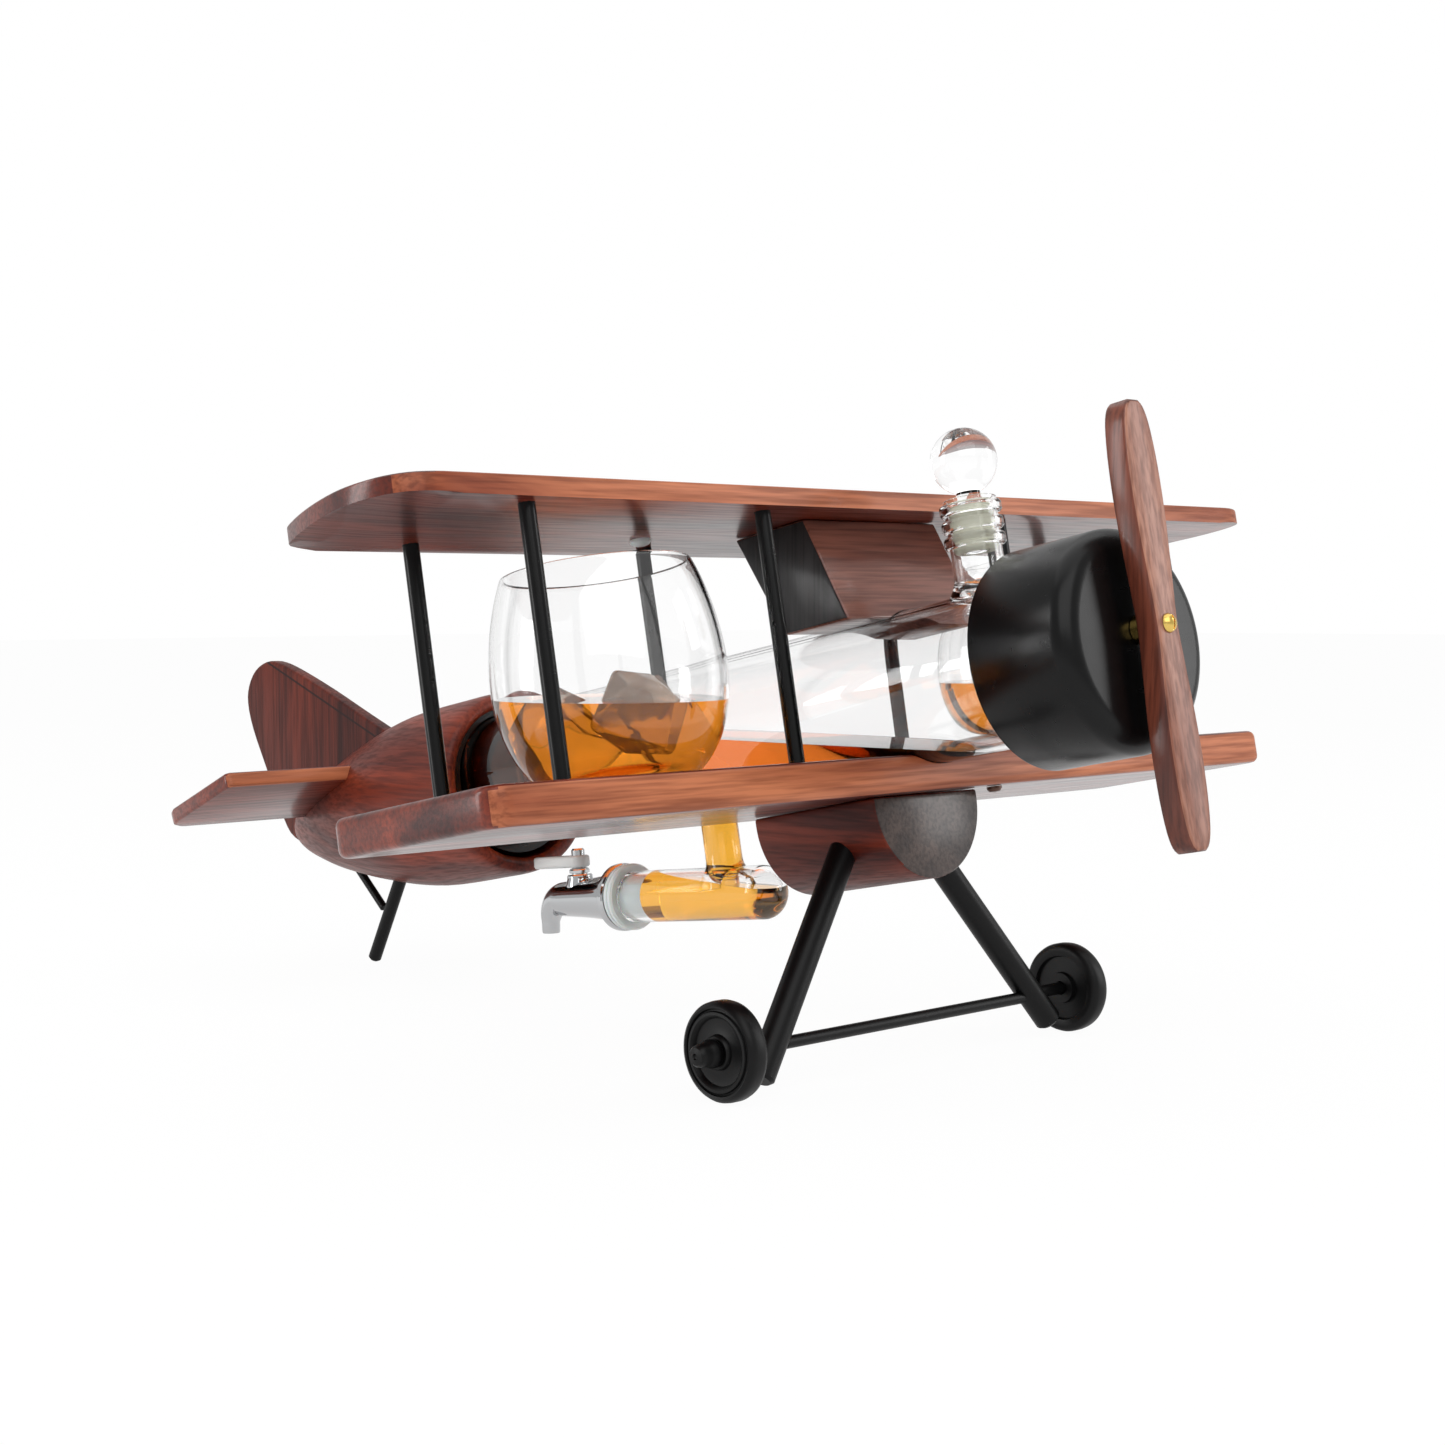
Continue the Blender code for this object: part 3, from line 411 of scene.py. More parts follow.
# %% Lower wing
def rounded_board(half, chord, radius):
    corners = ((half - radius, radius, -90), (half - radius, chord - radius, 0))
    points = []
    for x, y, start in corners:
        points += arc((x, y), radius, start, start + 90, 8)
    return points + [(-x, y) for x, y in reversed(points)]


lower = ease(prism(rounded_board(HALF_SPAN, CHORD, 0.009), -LOWER_THICK, 0), 0.0030)
saddle = put(rod(GLASS_R + 0.0003, 0.14, 96), (0, -0.02, AXIS_Z), ALONG_Y)
made = piece("lower_wing_board", combine(lower, [("DIFFERENCE", saddle)]), WOOD_X, ["lower_wing"])
# Painted light: the forward-facing edge gets the lighter copy of the wood.
faced(made, LIT_FRONT_WOOD, lambda out: out.y < -0.55)
print("lower wing chord", CHORD)

# %% [markdown]
# The upper wing is a thinner board with swollen tips. Under each tip a lens-shaped bevel is pared away.
# An outline is extruded twice, once out to the bevel's rim and once up, and its corners are eased.

# %% Upper wing
def upper_tip():
    """The swollen tip's outline, front to back, and the inner edge of its bevel."""
    half = HALF_SPAN - 0.001
    wide = half + 0.0235
    outer = [(half - 0.004, 0.0010), (half + 0.006, 0.0014), (half + 0.0145, 0.0045), (wide - 0.0035, 0.0110)]
    outer += [(wide - 0.0008, 0.0200), (wide, 0.0310), (wide - 0.0020, 0.0450), (wide - 0.0060, 0.0610)]
    outer += [(wide - 0.0115, 0.0770), (wide - 0.0165, 0.0862), (half - 0.0060, 0.0905)]
    inner = [(half - 0.004, 0.0012), (half + 0.002, 0.0040), (half - 0.002, 0.0130), (half - 0.007, 0.0220)]
    inner += [
        (half - 0.011, 0.0320), (half - 0.0135, 0.0430), (half - 0.0130, 0.0540), (half - 0.0100, 0.0660),
    ]
    inner += [(half - 0.0050, 0.0770), (half + 0.0010, 0.0850), (half - 0.0060, 0.0903)]
    return smooth_profile(outer, 3), smooth_profile(inner, 3)


def upper_board():
    """The underside's flat, drawn out to the bevel's rim and then up to the top."""
    outer, inner = upper_tip()
    last = len(outer) - 1
    low = [(x, y, UPPER_Z) for x, y in inner]
    rim = [(x, y, UPPER_Z + 0.0011 * sin(pi * i / last) ** 0.6 + 0.00001) for i, (x, y) in enumerate(outer)]
    high = [(x, y, UPPER_Z + UPPER_THICK) for x, y in outer]
    levels = [half + [(-x, y, z) for x, y, z in reversed(half)] for half in (low, rim, high)]
    bm = bmesh.new()
    face = bm.faces.new([bm.verts.new(spot) for spot in levels[0]])
    for start, stop in zip(levels, levels[1:]):
        grown = bmesh.ops.extrude_face_region(bm, geom=[face])["geom"]
        for part in grown:
            if isinstance(part, bmesh.types.BMVert):
                nearest = min(range(len(start)), key=lambda k: (part.co - Vector(start[k])).length)
                part.co = stop[nearest]
        face = next(part for part in grown if isinstance(part, bmesh.types.BMFace))
    bmesh.ops.recalc_face_normals(bm, faces=bm.faces)
    corners = [e for e in bm.edges if len(e.link_faces) == 2 and e.calc_face_angle() > radians(50)]
    bmesh.ops.bevel(bm, geom=corners, offset=0.0011, segments=3, affect="EDGES", profile=0.5, material=-1)
    return bm


made = piece("upper_wing_board", upper_board(), WOOD_X, ["upper_wing"], angle=20)
# Painted light: the forward-facing edge gets the lighter copy of the wood.
faced(made, LIT_FRONT_WOOD, lambda out: out.y < -0.55)
print("upper wing half width", HALF_SPAN + 0.0225)

# %% [markdown]
# Eight black dowels hold the wings apart. Each is a short profile spun round its own axis, with its
# ends a little inside both boards, as a dowel sits in its hole.

# %% Struts
for side_name, side in SIDES:
    for row, y in zip(("front", "rear"), STRUT_Y):
        for bay, x in zip(("inner", "outer"), STRUT_X):
            name = f"strut_{side_name}_{row}_{bay}"
            bar = put(rod(0.0030, 0.105, 36), (side * x, y, -0.0078))
            piece(name + "_dowel", bar, BLACK, [name])
print("8 struts")

# %% [markdown]
# A raked block stands on the glass and carries the upper wing. Its front has a lighter copy of the wood as painted
# light, and its cheeks have a near-black copy as painted shade under the upper wing. Below the lower wing, a
# half-round block takes the gear legs.

# %% Blocks above and below the glass
SIDEWAYS = Matrix(((0, 0, 1, 0), (1, 0, 0, 0), (0, 1, 0, 0), (0, 0, 0, 1)))
UPRIGHT = Matrix(((1, 0, 0, 0), (0, 0, 1, 0), (0, 1, 0, 0), (0, 0, 0, 1)))
print("matrices for sideways outlines ready")

# %% [markdown]
# The raked block is a slanting outline turned on its side, with a saddle cut for the glass.

# %% Cabane block
raked = [(0.0032, 0.0525), (0.0375, 0.0525), (0.0575, 0.0941), (0.0195, 0.0941)]
cabane = put(ease(prism(raked, -0.038, 0.038), 0.0012, 3), (0, 0, 0), SIDEWAYS)
saddle = put(rod(GLASS_R + 0.0003, 0.12, 96), (0, -0.03, AXIS_Z), ALONG_Y)
# Painted light: a lighter copy of the mahogany for the block's lit front.
CABANE_LIT_WOOD = wood("mahogany_cabane_lit", 0, (0.130, 0.042, 0.028, 1), (0.300, 0.115, 0.080, 1), 0.34, 0.7)
made = piece("cabane", combine(cabane, [("DIFFERENCE", saddle)]), CABANE_LIT_WOOD, ["cabane_block"])
# Painted shade: the cheeks get the near-black copy of the wood.
faced(made, CHEEK_SHADE_WOOD, lambda out: abs(out.x) > 0.8)
print("cabane block")

# %% [markdown]
# The belly block has straight sides for a few millimetres, and is round below them.

# %% Belly block
top = -LOWER_THICK - 0.0003
keel = [(0.030, top)] + [
    (0.030 * cos(a), top - 0.0028 + 0.030 * sin(a)) for a in [-pi * i / 48 for i in range(49)]
]
keel += [(-0.030, top)]
belly = put(ease(prism(keel, 0.011, 0.076), 0.0010, 3, 50), (0, 0, 0), UPRIGHT)
made = piece("belly", belly, WOOD_Y, ["belly_block"], angle=30)
faced(made, END_GRAIN, lambda out: abs(out.y) > 0.8)
print("belly block")

# %% [markdown]
# A wooden plug hides the screw below the wing. Two soft bumpers under the upper wing keep the glasses
# from touching it.

# %% Plug and bumpers
peg = turned([(0, 0), (0.003, 0), (0.003, -0.001), (0.0022, -0.002), (0, -0.0024)], 32)
piece("wing_peg", put(peg, (0.0362, 0.007, top)), DARK_SCREW, ["wing_screw"])
pad = [(0, 0), (0.0040, 0), (0.0040, -0.0010), (0.0032, -0.0020), (0.0018, -0.0025), (0, -0.0026)]
for name, side in SIDES:
    at = (side * (STRUT_X[0] + 0.016), STRUT_Y[1] - 0.016, UPPER_Z)
    piece(f"pad_{name}", put(turned(pad, 32), at), SILICONE, [f"glass_pad_{name}"])
print("blocks and pads")

# %% [markdown]
# The decanter is one blown piece: body, filling neck with ribbed collar, down tube and tap pipe.

# %% Decanter
def bottle(inset, steps=96):
    radius = GLASS_R - inset
    soft = 0.009 - inset
    profile = [(0, inset)] + [
        (radius - soft + soft * sin(a), inset + soft - soft * cos(a)) for a in [pi * i / 12 for i in range(7)]
    ]
    end = GLASS_LENGTH - inset
    profile += [
        (radius - soft + soft * cos(a), end - soft + soft * sin(a)) for a in [pi * i / 12 for i in range(7)]
    ]
    return put(turned(profile + [(0, end)], steps), (0, NOSE_Y, AXIS_Z), ALONG_Y)


print("decanter body ready")

# %% [markdown]
# The neck rises through the glass with three collar rings, and the pipe below has a round blind end.

# %% Neck and pipe
def neck():
    profile = [
        (0, 0.040), (0.0148, 0.040), (0.0148, 0.0520), (0.0128, 0.0550), (0.0112, 0.0575),
        (0.0101, 0.0605),
    ]
    profile += [(0.0098, 0.0640), (0.0098, 0.0728)]
    pitch = 0.0185 / 3
    for i in range(3):
        base = 0.0730 + i * pitch
        ring = [
            (0.0100, 0), (0.0112, 0.0003), (0.0117, 0.0010), (0.0117, 0.0036), (0.0112, 0.0043),
            (0.0100, 0.0046),
        ]
        profile += [(r, base + h) for r, h in ring]
        profile += [(0.0100, base + pitch - 0.0003)]
    profile += [(0.0096, 0.0915), (0, 0.0915)]
    return put(turned(profile, 72), (0, NECK_Y, 0))


def pipe(inset, length, steps=64):
    radius = PIPE_R - inset
    round_end = [
        (radius * sin(a), inset + radius * 0.8 * (1 - cos(a))) for a in [pi * i / 20 for i in range(11)]
    ]
    return put(turned(round_end + [(radius, length), (0, length)], steps), (0, PIPE_Y, PIPE_Z), ALONG_PIPE)


def tube(radius, low, high, steps=48):
    return put(turned([(0, low), (radius, low), (radius, high), (0, high)], steps), (0, TUBE_Y, 0))


def flare(steps=48):
    """The fillet where the down tube spreads on to the pipe."""
    spots = [(0.0132, -0.0390), (0.0112, -0.0345), (0.0092, -0.0315), (0.0080, -0.0285), (0.0078, -0.0240)]
    return put(turned([(0, -0.039)] + smooth_profile(spots, 3) + [(0, -0.024)], steps), (0, TUBE_Y, 0))


print("neck and pipe ready")

# %% [markdown]
# All the outer shapes are joined first. Then the inner ones are cut out, so that the walls run into
# each other as blown glass does.

# %% Decanter, joined
glass = combine(
    bottle(0),
    [
        ("UNION", neck()),
        ("UNION", tube(0.0078, PIPE_Z, 0.008)),
        ("UNION", flare(44)),
        ("UNION", pipe(0, PIPE_LENGTH)),
        ("DIFFERENCE", bottle(GLASS_WALL, 90)),
        (
            "DIFFERENCE",
            put(turned([(0, 0.045), (0.0088, 0.045), (0.0088, 0.12), (0, 0.12)], 60), (0, NECK_Y, 0)),
        ),
        ("DIFFERENCE", tube(0.0058, PIPE_Z + 0.0031, 0.010, 40)),
        ("DIFFERENCE", pipe(0.0020, PIPE_LENGTH + 0.01, 56)),
    ],
)
piece("decanter_glass", glass, GLASS, ["decanter"], angle=30)

# %% [markdown]
# The drink lies level with the floor, not with the plane, so each pool is cut by a floor-parallel plane.

# %% Drink in the decanter
def cut_level(bm, height):
    """Keeps what lies below a height above the floor, and closes the surface."""
    bmesh.ops.transform(bm, matrix=STANCE, verts=bm.verts)
    cut = bmesh.ops.bisect_plane(
        bm, geom=bm.verts[:] + bm.edges[:] + bm.faces[:], plane_co=(0, 0, height), plane_no=(0, 0, 1), clear_outer=True
    )
    rim = [e for e in cut["geom_cut"] if isinstance(e, bmesh.types.BMEdge)]
    bmesh.ops.contextual_create(bm, geom=rim)
    bmesh.ops.transform(bm, matrix=STANCE.inverted(), verts=bm.verts)
    return bm


pool = cut_level(bottle(GLASS_WALL - 0.0002, 84), 0.1250)
piece("decanter_drink", pool, POOL_DRINK, [], angle=30)
column = combine(
    cut_level(pipe(0.0018, PIPE_LENGTH - 0.0142, 52), 0.0625),
    [("UNION", tube(0.00595, PIPE_Z + 0.0034, -0.0024, 38))],
)
piece("pipe_drink", column, PALE_DRINK, [], angle=30)

# %% [markdown]
# The stopper is a solid glass ball on a short stem. A soft ribbed seal round the stem grips the neck.
# Both are spun from profiles, and both lift out together.

# %% Stopper
ball_r = 0.0127
ball_z = 0.0915 + 0.0144
stem = 0.0045
ball = [(0, -0.0349), (stem - 0.0005, -0.0349), (stem, -0.0343), (stem, -sqrt(ball_r**2 - stem**2))]
first = math.asin(stem / ball_r)
ball += [(ball_r * sin(a), -ball_r * cos(a)) for a in [first + (pi - first) * i / 30 for i in range(1, 30)]]
ball += [(0, ball_r)]
piece(
    "stopper_glass", put(turned(ball, 72), (0, NECK_Y, ball_z)), GLASS, ["stopper_ball"],
    "stopper",
)
print("stopper ball")

# %% [markdown]
# The seal has four soft ribs.

# %% Stopper seal
seal = [(0.0048, 0.071)]
for i in range(4):
    base = 0.071 + 0.0175 * i / 4
    seal += [
        (0.0077, base), (0.0082, base + 0.0005), (0.0085, base + 0.0014), (0.0084, base + 0.0030),
        (0.0077, base + 0.0038),
    ]
seal += [(0.0077, 0.0885), (0.0048, 0.0885)]
piece("stopper_ribs", put(turned(seal, 60), (0, NECK_Y, 0)), CREAM, ["stopper_seal"], "stopper")
print("stopper")

# %% [markdown]
# The cowling is a turned cup with a soft front edge, painted black. It's one closed profile, outside
# and inside, so its wall has a real thickness where the glass goes in.

# %% Cowling and propeller
soft = 0.0078
cowl = [(0, 0), (COWL_R - soft, 0)]
cowl += [(COWL_R - soft + soft * sin(a), soft - soft * cos(a)) for a in [pi * i / 20 for i in range(1, 11)]]
cowl += [
    (COWL_R, COWL_LENGTH - 0.0012), (COWL_R - 0.0004, COWL_LENGTH - 0.0003),
    (COWL_R - 0.0014, COWL_LENGTH),
]
cowl += [(GLASS_R + 0.0003, COWL_LENGTH), (GLASS_R + 0.0003, 0.0097), (0, 0.0097)]
piece(
    "cowling_cup", put(turned(cowl, 128), (0, COWL_FRONT, AXIS_Z), ALONG_Y), BLACK, ["cowling"],
    angle=25,
)
print("cowling")

# %% [markdown]
# The propeller is a plank with round ends and a slight waist at the hub. Its front face has a lighter copy of its
# wood, painted light where the lamps fall on it.

# %% Propeller
half = 0.0802
side = [
    (0.0027, half), (0.0052, 0.972 * half), (0.0073, 0.900 * half), (0.0087, 0.76 * half),
    (0.0091, 0.58 * half),
]
side += [(0.0086, 0.40 * half), (0.0074, 0.20 * half), (0.0065, 0.05 * half)]
side = smooth_profile(side + [(x, -z) for x, z in reversed(side)], 3)
blade = prism(side + [(-x, z) for x, z in reversed(side)], 0, 0.0094)
blade = put(ease(blade, 0.0013, 4, 50), (0, -0.1110, PROP_Z), UPRIGHT)
hole = put(rod(0.0022, 0.03, 32), (0, -0.120, PROP_Z), ALONG_Y)
PROP_WOOD = wood("mahogany_propeller", 2, (0.085, 0.018, 0.010, 1), (0.230, 0.062, 0.034, 1), 0.34, 0.5)
made = piece(
    "propeller_blade", combine(blade, [("DIFFERENCE", hole)]), PROP_WOOD, ["propeller"],
    "propeller",
)
# Painted light: a lighter, paler copy of the wood for the propeller's front face.
PROP_LIT_FACE = wood("mahogany_propeller_lit_face", 2, (0.240, 0.085, 0.052, 1), (0.520, 0.250, 0.170, 1), 0.36, 0.3)
faced(made, PROP_LIT_FACE, lambda out: out.y < -0.75)
print("propeller")

# %% [markdown]
# A slotted brass screw holds the propeller, on a collar that keeps it clear of the cowling.

# %% Propeller screw
head = [
    (0, -0.0024), (0.0012, -0.00225), (0.0023, -0.0018), (0.0031, -0.0010), (0.0035, 0), (0.0018, 0),
    (0.0018, 0.019), (0, 0.0194),
]
screw = put(turned(head, 48), (0, -0.1113, PROP_Z), ALONG_Y)
slot_cut = bmesh.new()
bmesh.ops.create_cube(
    slot_cut, size=1,
    matrix=Matrix.Translation((0, -0.1136, PROP_Z)) @ Matrix.Diagonal((0.0007, 0.0018, 0.009, 1)),
)
piece("propeller_bolt", combine(screw, [("DIFFERENCE", slot_cut)]), BRASS, ["propeller_screw"])
washer = turned([(0.0021, 0), (0.0052, 0), (0.0052, 0.003), (0.0021, 0.003)], 40)
piece("propeller_collar", put(washer, (0, -0.1013, PROP_Z), ALONG_Y), BRASS, ["propeller_washer"])
print("nose")

# %% [markdown]
# The tail is turned from one piece to a blunt point, with a lip at its mouth and a bore that takes the
# glass. A black sleeve fills the space between the two.

# %% Tail
cone = [
    (0.925, 0), (0.965, 0.005), (0.985, 0.014), (1, 0.045), (1, 0.12), (1, 0.235), (0.985, 0.333),
    (0.93, 0.432),
]
cone += [
    (0.865, 0.508), (0.79, 0.59), (0.70, 0.672), (0.60, 0.754), (0.475, 0.836), (0.36, 0.902),
    (0.23, 0.956), (0.10, 0.99), (0, 1),
]
cone = [(max(r, 0) * TAIL_R, h * TAIL_LENGTH) for r, h in smooth_profile(cone, 3)]
bore = [(0, 0.0465), (0.0352, 0.0465), (0.0352, 0.002), (0.0362, 0.0006), (0.0372, 0.0)]
piece(
    "tail_shell", put(turned(bore + cone, 112), (0, TAIL_Y, TAIL_Z), ALONG_Y), WOOD_Y, ["tail_cone"],
)
liner = turned([(0.0306, 0.004), (0.0344, 0.004), (0.0344, 0.046), (0.0306, 0.046)], 96)
piece("tail_sleeve", put(liner, (0, TAIL_Y, AXIS_Z), ALONG_Y), BLACK, ["tail_liner"])
print("tail cone")

# %% [markdown]
# The fin is a sawn board with a scored line across it, parallel to its leading edge. The line is part of
# the finish.

# %% Fin
fin = [
    (0.3420, 0.0570), (0.3700, 0.0735), (0.3990, 0.0910), (0.4250, 0.1055), (0.4400, 0.1125),
    (0.4500, 0.1145),
]
fin += [
    (0.4610, 0.1120), (0.4690, 0.1050), (0.4720, 0.0960), (0.4700, 0.0820), (0.4620, 0.0600),
    (0.4530, 0.0360),
]
fin = smooth_profile(fin + [(0.4460, 0.0230), (0.4360, 0.0165)], 3) + [(0.3900, 0.0220), (0.3420, 0.0500)]
across = Vector((0, -0.515, 0.857))
turned_across = STANCE.to_3x3() @ across
offset = turned_across.dot(STANCE @ Vector((0, 0.399, 0.0845)))
# Painted shade: the fin gets a darker, duller copy of the red mahogany.
FIN_SHADE_WOOD = wood(
    "mahogany_fin_shade", 2, (0.046, 0.0048, 0.0024, 1), (0.150, 0.021, 0.009, 1), 0.40, 0.08,
    lines=[(tuple(turned_across), offset, 0.0007)],
)
fin = put(ease(prism(fin, -0.004, 0.004), 0.0018, 4, 50), (0, 0, 0), SIDEWAYS)
piece("fin_board", fin, FIN_SHADE_WOOD, ["tail_fin"])
print("fin")

# %% [markdown]
# A stabilizer droops a little on each side of the tail.

# %% Stabilizers
for name, side in SIDES:
    board = [
        (0.0085, 0), (0.098, 0), (0.100, 0.002), (0.100, 0.052), (0.098, 0.0575), (0.093, 0.0605),
        (0.090, 0.061), (0.0085, 0.061),
    ]
    board = ease(prism([(side * x, y) for x, y in board], -0.007, 0), 0.0016, 3, 30)
    board = put(board, (0, 0.345, 0.0462), Matrix.Rotation(radians(-11.5), 4, "X"))
    made = piece(f"stabilizer_board_{name}", board, WOOD_X, [f"stabilizer_{name}"])
    # Painted light: the forward-facing edge gets the lighter copy of the wood.
    faced(made, LIT_FRONT_WOOD, lambda out: out.y < -0.55)
print("stabilizers")

# %% [markdown]
# The skid and its thin brace hold the tail off the floor.

# %% Tail skid
skid_top = Vector((0, 0.352, -0.002))
skid_foot = Vector((0, 0.3895, -0.0475))
run = skid_foot - skid_top
piece(
    "skid_dowel", put(rod(0.0032, run.length, 40, 0.001), skid_top, aim(run)), BLACK_GEAR, ["tail_skid"],
)
brace_top = skid_top + Vector((0, 0.043, 0.002))
brace = skid_top + run * 0.55 - brace_top
brace = brace * (1 - 0.0050 / brace.length)
piece(
    "skid_brace", put(rod(0.002, brace.length, 28, 0.0003), brace_top, aim(brace)), BLACK_GEAR,
    ["tail_skid_brace"],
)
print("tail")

# %% [markdown]
# Two splayed legs carry a spreader and the pegs on which the wheels turn. Leg and wheel are both
# turned shapes, so each is a profile aimed along its own line.

# %% Landing gear
leg_top = (0.0190, -0.0260)
leg_foot = (WHEEL[0] - 0.015, WHEEL[2] - 0.0125)
share = (WHEEL[2] - leg_top[1]) / (leg_foot[1] - leg_top[1])
reach = leg_top[0] + share * (leg_foot[0] - leg_top[0])
print("leg line")

# %% [markdown]
# The wheel's profile runs over its hub, dish, groove and tyre. The peg ends in a mushroom head that
# keeps the wheel on.

# %% Wheels and pegs
rim = [
    (0.0029, 0.0050), (0.0058, 0.0050), (0.0062, 0.0046), (0.0066, 0.0030), (0.0090, 0.0024),
    (0.0122, 0.0028),
]
rim += [
    (0.0128, 0.0040), (0.0136, 0.0046), (0.0146, 0.0045), (0.0150, 0.0036), (0.0155, 0.0034),
    (0.0159, 0.0042),
]
rim += [
    (0.0166, 0.0045), (0.0176, 0.0040), (0.0183, 0.0028), (0.0185, 0.0012), (0.0185, -0.0020),
    (0.0180, -0.0036),
]
rim += [
    (0.0170, -0.0043), (0.0155, -0.0045), (0.0134, -0.0041), (0.0128, -0.0024), (0.0066, -0.0027),
    (0.0062, -0.0045), (0.0029, -0.0045),
]
peg = [
    (0, 0), (0.0025, 0), (0.0025, 0.0300), (0.0046, 0.0303), (0.0052, 0.0312), (0.0053, 0.0330),
    (0.0046, 0.0345),
]
peg += [
    (0.0043, 0.0360), (0.0042, 0.0378), (0.0039, 0.0392), (0.0032, 0.0400), (0.0012, 0.0403),
    (0.0008, 0.0396), (0, 0.0394),
]
for name, side in SIDES:
    top_at = Vector((side * leg_top[0], WHEEL[1], leg_top[1]))
    run = Vector((side * leg_foot[0], WHEEL[1], leg_foot[1])) - top_at
    piece(
        f"leg_{name}", put(rod(0.0055, run.length, 48, 0.0012), top_at, aim(run)), BLACK_GEAR,
        [f"gear_leg_{name}"],
    )
    wheel = put(turned(rim, 96), (side * WHEEL[0], WHEEL[1], WHEEL[2]), aim((side, 0, 0)))
    piece(
        f"wheel_disc_{name}", wheel, BLACK_GEAR, [f"wheel_{name}"], f"wheel_{name}",
        angle=40,
    )
    inner = reach - 0.0012
    end = WHEEL[0] + 0.0150 - 0.0003
    shaft = [(r, h + end + 0.0003 - inner - 0.0404) if h > 0.01 else (r, h) for r, h in peg]
    axle = put(turned(shaft, 40), (side * inner, WHEEL[1], WHEEL[2]), aim((side, 0, 0)))
    piece(f"axle_{name}", axle, BLACK_GEAR, [f"axle_peg_{name}"])
bar = put(
    rod(0.0024, 2 * reach - 0.0106, 32, 0.0003), (0.0053 - reach, WHEEL[1], WHEEL[2] - 0.001),
    aim((1, 0, 0)),
)
piece("spreader", bar, BLACK_GEAR, ["spreader_rod"])
print("gear reach", round(reach, 4))

# %% [markdown]
# The tap is a small casting on the end of the pipe. A soft bung and a plated flange seal it, its body
# bends down to a spout, and a spindle on top carries a pale lever.

# %% Tap
def along_pipe(distance):
    return Vector((0, PIPE_Y + cos(PIPE_TILT) * distance, PIPE_Z + sin(PIPE_TILT) * distance))


def bent(stations, steps, bend=0.011):
    """Rings along a bar that bends down, bridged one to the next."""
    bm = bmesh.new()
    loops = []
    for distance, angle, reach_on, radius in stations:
        centre = Vector(
            (
                0, distance + bend * sin(angle) + reach_on * cos(angle),
                -bend * (1 - cos(angle)) - reach_on * sin(angle),
            )
        )
        place = Matrix.Translation(centre) @ Matrix.Rotation(-pi / 2 - angle, 4, "X")
        ring = bmesh.ops.create_circle(bm, segments=steps, radius=radius, matrix=place)["verts"]
        loops.append(list({edge for vert in ring for edge in vert.link_edges}))
    for low, high in zip(loops, loops[1:]):
        bmesh.ops.bridge_loops(bm, edges=low + high)
    for loop in (loops[0], loops[-1]):
        bmesh.ops.contextual_create(bm, geom=loop)
    return bm


print("bent bar ready")

# %% [markdown]
# The casting is a chain of rings that swells at its flange and narrows to the spout.

# %% Tap casting
LEVEL = Matrix.Rotation(PIPE_TILT, 4, "X")
FACE = PIPE_LENGTH + 0.0111
tower_at = along_pipe(FACE + 0.026)
casting = [
    (-0.024, 0, 0, 0.0046), (-0.0236, 0, 0, 0.005), (0, 0, 0, 0.005), (0, 0, 0, 0.0092),
    (0.0006, 0, 0, 0.0098),
]
casting += [
    (0.003, 0, 0, 0.0102), (0.007, 0, 0, 0.0100), (0.013, 0, 0, 0.0094), (0.020, 0, 0, 0.0088),
    (0.028, 0, 0, 0.0083), (0.034, 0, 0, 0.0080),
]
casting += [(0.038, radians(86) * i / 14, 0, 0.0078 - 0.0036 * i / 14) for i in range(15)]
casting += [(0.038, radians(86), 0.0044, 0.0041), (0.038, radians(86), 0.0050, 0.0038)]
tower = put(
    turned(
        [(0, 0), (0.0068, 0), (0.0064, 0.0075), (0.0058, 0.0090), (0.0058, 0.0104), (0.0052, 0.0110), (0, 0.0110)],
        48,
    ),
    tower_at, LEVEL,
)
drain = put(
    bent(
        [(0.038, radians(70), 0, 0.0026), (0.038, radians(86), 0, 0.0029), (0.038, radians(86), 0.01, 0.0029)],
        30,
    ),
    along_pipe(FACE), LEVEL,
)
body = combine(put(bent(casting, 56), along_pipe(FACE), LEVEL), [("UNION", tower), ("DIFFERENCE", drain)])
piece("tap_casting", body, CHROME, ["tap_body"], angle=38)
print("tap casting")

# %% [markdown]
# A plated flange and a milky washer seal the tap against the glass.

# %% Flange and washer
flange = [
    (0.0053, 0), (0.0142, 0), (0.0149, 0.0006), (0.0150, 0.0016), (0.0149, 0.0030), (0.0142, 0.0039),
    (0.0128, 0.0045), (0.0053, 0.0045),
]
piece(
    "tap_ring", put(turned(flange, 80), along_pipe(PIPE_LENGTH + 0.0063), ALONG_PIPE), CHROME,
    ["tap_flange"],
)
bung = [
    (0.0053, -0.014), (0.0082, -0.014), (0.0090, -0.012), (0.0090, 0.0003), (0.0138, 0.0003),
    (0.0146, 0.0012), (0.0146, 0.0026),
]
bung += [(0.0140, 0.0030), (0.0146, 0.0034), (0.0146, 0.0048), (0.0138, 0.0060), (0.0053, 0.0060)]
piece(
    "tap_washer", put(turned(bung, 72), along_pipe(PIPE_LENGTH), ALONG_PIPE), SILICONE, ["tap_bung"],
)
print("flange and washer")

# %% [markdown]
# The spindle turns with its pale lever.

